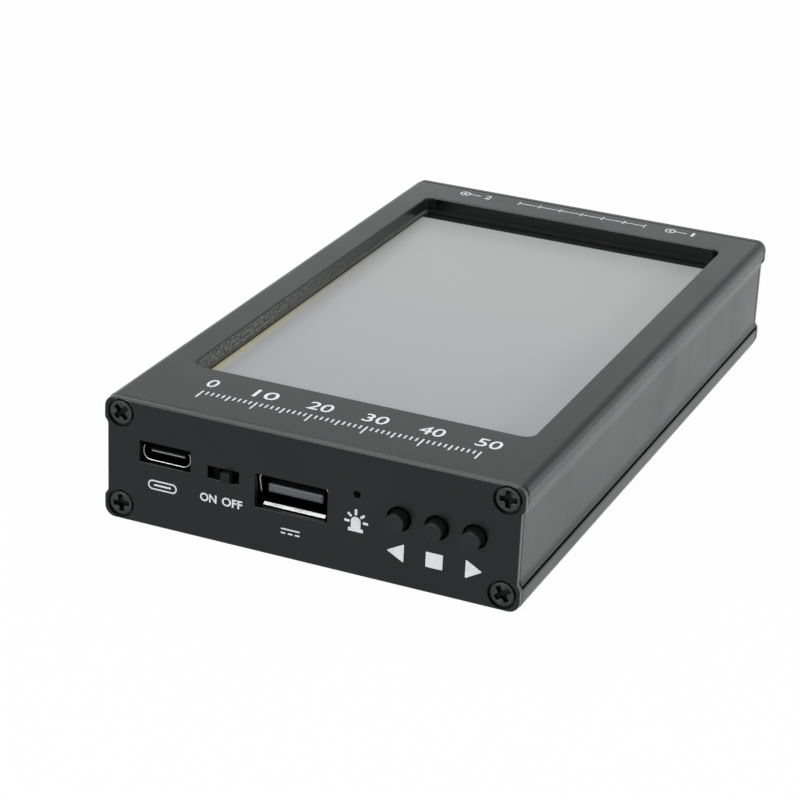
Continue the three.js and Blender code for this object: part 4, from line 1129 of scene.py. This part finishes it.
# The barrel's outer surface is radius R - d * (1 - cos(2 pi h / pitch - angle)) / 2 over height h and
# angle, where d fades out at both ends of the thread. Its bore follows as plain turned steps.
def makeJackBody(label, x):
    steps, barrel, bore, mouth, edge = 48, jack["barrel"], jack["bore"], jack["mouth"], jack["mouthEdge"]
    thick, end = jack["flangeThick"], jack["end"]
    angle = fullTurn(steps)
    h = np.linspace(jack["threadStart"], end - jack["chamfer"], jack["threadSteps"])
    fade = np.clip((h - h[0]) / jack["fadeIn"], 0, 1) * np.clip((h[-1] - h) / jack["fadeOut"], 0, 1)
    wave = (1 - np.cos(2 * np.pi * h[:, None] / jack["pitch"] - angle)) / 2
    thread = barrel - jack["threadDepth"] * fade[:, None] * wave
    outside = [(bore, -thick), (barrel, -thick), (barrel, jack["threadStart"] - 0.02)]
    inside = [(barrel - jack["chamfer"], end), (mouth + edge, end), (mouth, end - edge),
              (mouth, end - jack["mouthDepth"]), (bore, end - jack["mouthDepth"]), (bore, -thick)]
    before, after = (np.array([r for r, _ in part])[:, None].repeat(steps, 1) for part in (outside, inside))
    heights = np.concatenate([[y for _, y in outside], h, [y for _, y in inside]])
    form = addSwung(newForm(), np.concatenate([before, thread, after]), heights, jackPlace(x), steps)
    flange = rectangle(0, 0, jack["flange"], jack["flange"], 0.2, 3)
    addSlab(form, flange, 0.08, thick - 0.02, jackPlace(x, -thick), holes=[circle(0, 0, barrel - 0.05)])
    width = jack["legWidth"]
    for side in (-1, 1):
        for level in jack["legLevels"]:
            leg = rectangle(x + side * jack["legX"], jack["legY"], width, jack["legLength"], 0.1, 3)
            addSlab(form, leg, 0.06, width, downwards(controls["jackHeight"] + level + width))
    makePiece(f"jackBody_{label}", form, "gold_plate", [f"jack_body_{label}"])


# The insulator fills the barrel round the contact, from the flange's back to the mouth
def makeJackInsulator(label, x):
    thick = jack["end"] - jack["mouthDepth"] + jack["flangeThick"]
    bore = circle(0, 0, jack["contact"] + 0.04, 32)
    place = jackPlace(x, -jack["flangeThick"])
    form = addSlab(newForm(), circle(0, 0, jack["insulator"]), 0.06, thick, place, 3, [bore])
    makePiece(f"jackInsulator_{label}", form, "fluoropolymer", [f"jack_insulator_{label}"])


# The contact's mouth dips by the slot's depth where the angle is within the slot's half width of a
# quarter turn, so that it shows four spring fingers
def makeJackContact(label, x):
    outer, inner, tail, step = jack["contact"], jack["socket"], jack["tail"], jack["step"]
    end = jack["end"] - jack["mouthDepth"]
    angle = fullTurn(64)
    away = np.abs((angle + np.pi / 4) % (np.pi / 2) - np.pi / 4)
    cut = (away * outer < jack["slot"]) * jack["slotDepth"]
    profile = [
        (0, jack["tailEnd"]), (tail, jack["tailEnd"]), (tail, step), (outer, step), (outer, end + step),
        (outer - 0.06, end), (inner + 0.05, end), (inner, end + step), (inner, end - jack["socketDepth"]),
        (0, end - jack["socketDepth"]),
    ]
    radius, height = np.array(profile).T
    heights = height[:, None] - (height == end)[:, None] * cut
    form = addSwung(newForm(), radius, heights, jackPlace(x), 64)
    makePiece(f"jackContact_{label}", form, "gold_plate", [f"jack_contact_{label}"])


# The washer lies on the panel under the nut
def makeJackWasher(label, x):
    edge = bothEdges(0.1, jack["washerEnd"] - jack["washerStart"], 3)
    loops = [(circle(0, 0, jack["washer"], 72), edge), (circle(0, 0, jack["washerBore"]), edge)]
    form = addPlate(newForm(), loops, jackPlace(x, jack["washerStart"]))
    makePiece(f"jackWasher_{label}", form, "gold_plate", [f"jack_washer_{label}"])


# The nut's radius is the hexagon's, apothem / cos of the angle from the nearest flat, but never over
# the cone that chamfers both of its ends
def makeJackNut(label, x):
    steps, low, high, bore, edge = 96, jack["washerEnd"], jack["nutEnd"], jack["nutBore"], jack["nutBoreEdge"]
    angle = fullTurn(steps)
    hexagon = jack["nutApothem"] / np.cos(angle % (np.pi / 3) - np.pi / 6)
    near = np.array([0, 0, 0.1, 0.2, 0.34])
    cone = jack["nutApothem"] * 0.97 + near * 2.2
    radius = np.minimum(hexagon, np.concatenate([cone, cone[::-1]])[:, None])
    radius[[0, -1]] = bore + edge
    inside = np.full((1, steps), bore)
    levels = np.concatenate([[low + edge], low + near, high - near[::-1], [high - edge]])
    radius = np.concatenate([inside, radius, inside])
    form = addSwung(newForm(), radius, levels, jackPlace(x), steps, joined=True)
    makePiece(f"jackNut_{label}", form, "gold_plate", [f"jack_nut_{label}"])


for jackSide, jackX in controls["jacks"].items():
    for makeJackPiece in (makeJackBody, makeJackInsulator, makeJackContact, makeJackWasher, makeJackNut):
        makeJackPiece(jackSide, jackX)
print("jacks made")


# Stage: a pale floor that keeps the object's shadow, a white surround and soft lamps

stage = {
    "floorSize": 6, "floorDrop": 0.0001, "floorColour": (0.6, 0.6, 0.6, 1), "glow": 0.97,
    "ambient": 0.42, "ambientColour": (0.97, 0.99, 1, 1), "white": (1, 1, 1, 1),
    "open": (0.95, 1, 0.99, 1), "right": (0.56, 0.6, 0.59, 1), "overhead": (0.45, 0.49, 0.48, 1),
    "front": (0.62, 0.655, 0.65, 1), "rising": (sin(radians(16)), sin(radians(34))), "behind": (-0.3, 0.1),
    "sideways": (-0.25, 0.3), "shadeLeast": 0.95, "shadeReach": 0.02, "floorFront": (-0.068, -0.06),
}


# Light Path's masks: the camera's own rays, and all that see the surround, with those sent on by gloss
# or glass
def seenRays(tree):
    path = addNode(tree, "LightPath").outputs
    sent = combined(tree, "MAXIMUM", path["Is Glossy Ray"], path["Is Transmission Ray"])
    return path["Is Camera Ray"], combined(tree, "MAXIMUM", path["Is Camera Ray"], sent)


# A mix of two shader nodes: the second where the factor is 1
def mixedShader(tree, factor, first, second):
    return addNode(tree, "MixShader", {"Fac": factor, 1: first.outputs[0], 2: second.outputs[0]})


# In reflections the floor is white, dimmer in front of the object and in a narrow band along its foot, where
# it shades the floor: a smooth step of the distance beyond its outline. From below the floor is clear, and it
# lies a hair under the object, so that the underside can be seen.
def addFloor():
    mesh = bpy.data.meshes.new("studioFloor")
    half = stage["floorSize"] / 2
    corners = [(-half, -half), (half, -half), (half, half), (-half, half)]
    mesh.from_pydata([(x, y, -stage["floorDrop"]) for x, y in corners], [], [(0, 1, 2, 3)])
    material = bpy.data.materials.new("paleFloor")
    material.use_nodes = True
    tree = material.node_tree
    tree.nodes.clear()
    place = coordinates(tree)
    beyond = [combined(tree, "SUBTRACT", combined(tree, "ABSOLUTE", place[axis]), housing[size] * mm / 2)
              for axis, size in (("X", "width"), ("Y", "length"))]
    shade = smoothStep(tree, combined(tree, "MAXIMUM", *beyond), 0.0, stage["shadeReach"], stage["shadeLeast"])
    reflected = blended(tree, smoothStep(tree, place["Y"], *stage["floorFront"]), stage["front"], stage["open"])
    direct, seen = seenRays(tree)
    white = addNode(tree, "Emission", {
        "Color": blended(tree, direct, reflected, stage["white"]),
        "Strength": combined(tree, "MAXIMUM", direct, shade),
    })
    diffuse = addNode(tree, "BsdfDiffuse", {"Color": stage["floorColour"]})
    above = mixedShader(tree, combined(tree, "MULTIPLY", seen, stage["glow"]), diffuse, white)
    backfacing = addNode(tree, "NewGeometry").outputs["Backfacing"]
    both = mixedShader(tree, backfacing, above, addNode(tree, "BsdfTransparent"))
    addNode(tree, "OutputMaterial", {"Surface": both.outputs[0]})
    mesh.materials.append(material)
    floor = linked("studioFloor", mesh)


# The surround lights softly and is white for the camera. In reflections it is white at the left and behind,
# and dimmer at the right, overhead and in front: smooth steps of the direction's x, z and y
def addSurround():
    world = bpy.data.worlds.new("studio")
    bpy.context.scene.world = world
    world.use_nodes = True
    tree = world.node_tree
    tree.nodes.clear()
    direction = coordinates(tree, "Generated")
    sideways, behind, rising = (
        smoothStep(tree, direction[axis], *stage[key])
        for axis, key in (("X", "sideways"), ("Y", "behind"), ("Z", "rising"))
    )
    level = blended(tree, sideways, stage["open"], stage["right"])
    reflected = blended(tree, behind, stage["front"], blended(tree, rising, level, stage["overhead"]))
    direct, seen = seenRays(tree)
    soft = addNode(tree, "Background", {"Color": stage["ambientColour"], "Strength": stage["ambient"]})
    white = addNode(tree, "Background", {"Color": blended(tree, direct, reflected, stage["white"])})
    addNode(tree, "OutputWorld", {"Surface": mixedShader(tree, seen, soft, white).outputs[0]})


lamps = {
    "sideLamp": {"from": (1, -0.2, 0.22), "away": 0.9, "size": (0.4, 0.4), "watts": 6.5, "mirrored": False},
    "topLamp": {"from": (-0.15, 0.2, 1), "away": 0.9, "size": (0.6, 0.6), "watts": 5, "mirrored": True},
    "frontLamp": {"from": (-0.35, -1, 0.5), "away": 0.9, "size": (0.5, 0.5), "watts": 4.5, "mirrored": True},
    "rearLamp": {"from": (0.675, 0.737, 0.18), "away": 1.4, "size": (0.88, 0.46), "watts": 0.9,
                 "mirrored": True},
}


# A flat lamp that stands off the object's middle along a unit vector and faces back along it
def addLamp(name, values):
    away = unit(np.array(values["from"], float))
    right = unit(np.cross([0, 0, 1], away))
    middle = np.array([0, 0, housing["height"] / 2 * mm])
    data = bpy.data.lights.new(name, "AREA")
    data.energy = values["watts"]
    data.shape = "RECTANGLE"
    data.size, data.size_y = values["size"]
    lamp = placed(name, data, [right, np.cross(away, right), away], middle + away * values["away"])
    lamp.visible_glossy = values["mirrored"]


addFloor()
addSurround()
for lampName, lampValues in lamps.items():
    addLamp(lampName, lampValues)
bpy.context.scene.view_settings.view_transform = "Standard"
print("stage and lamps made")
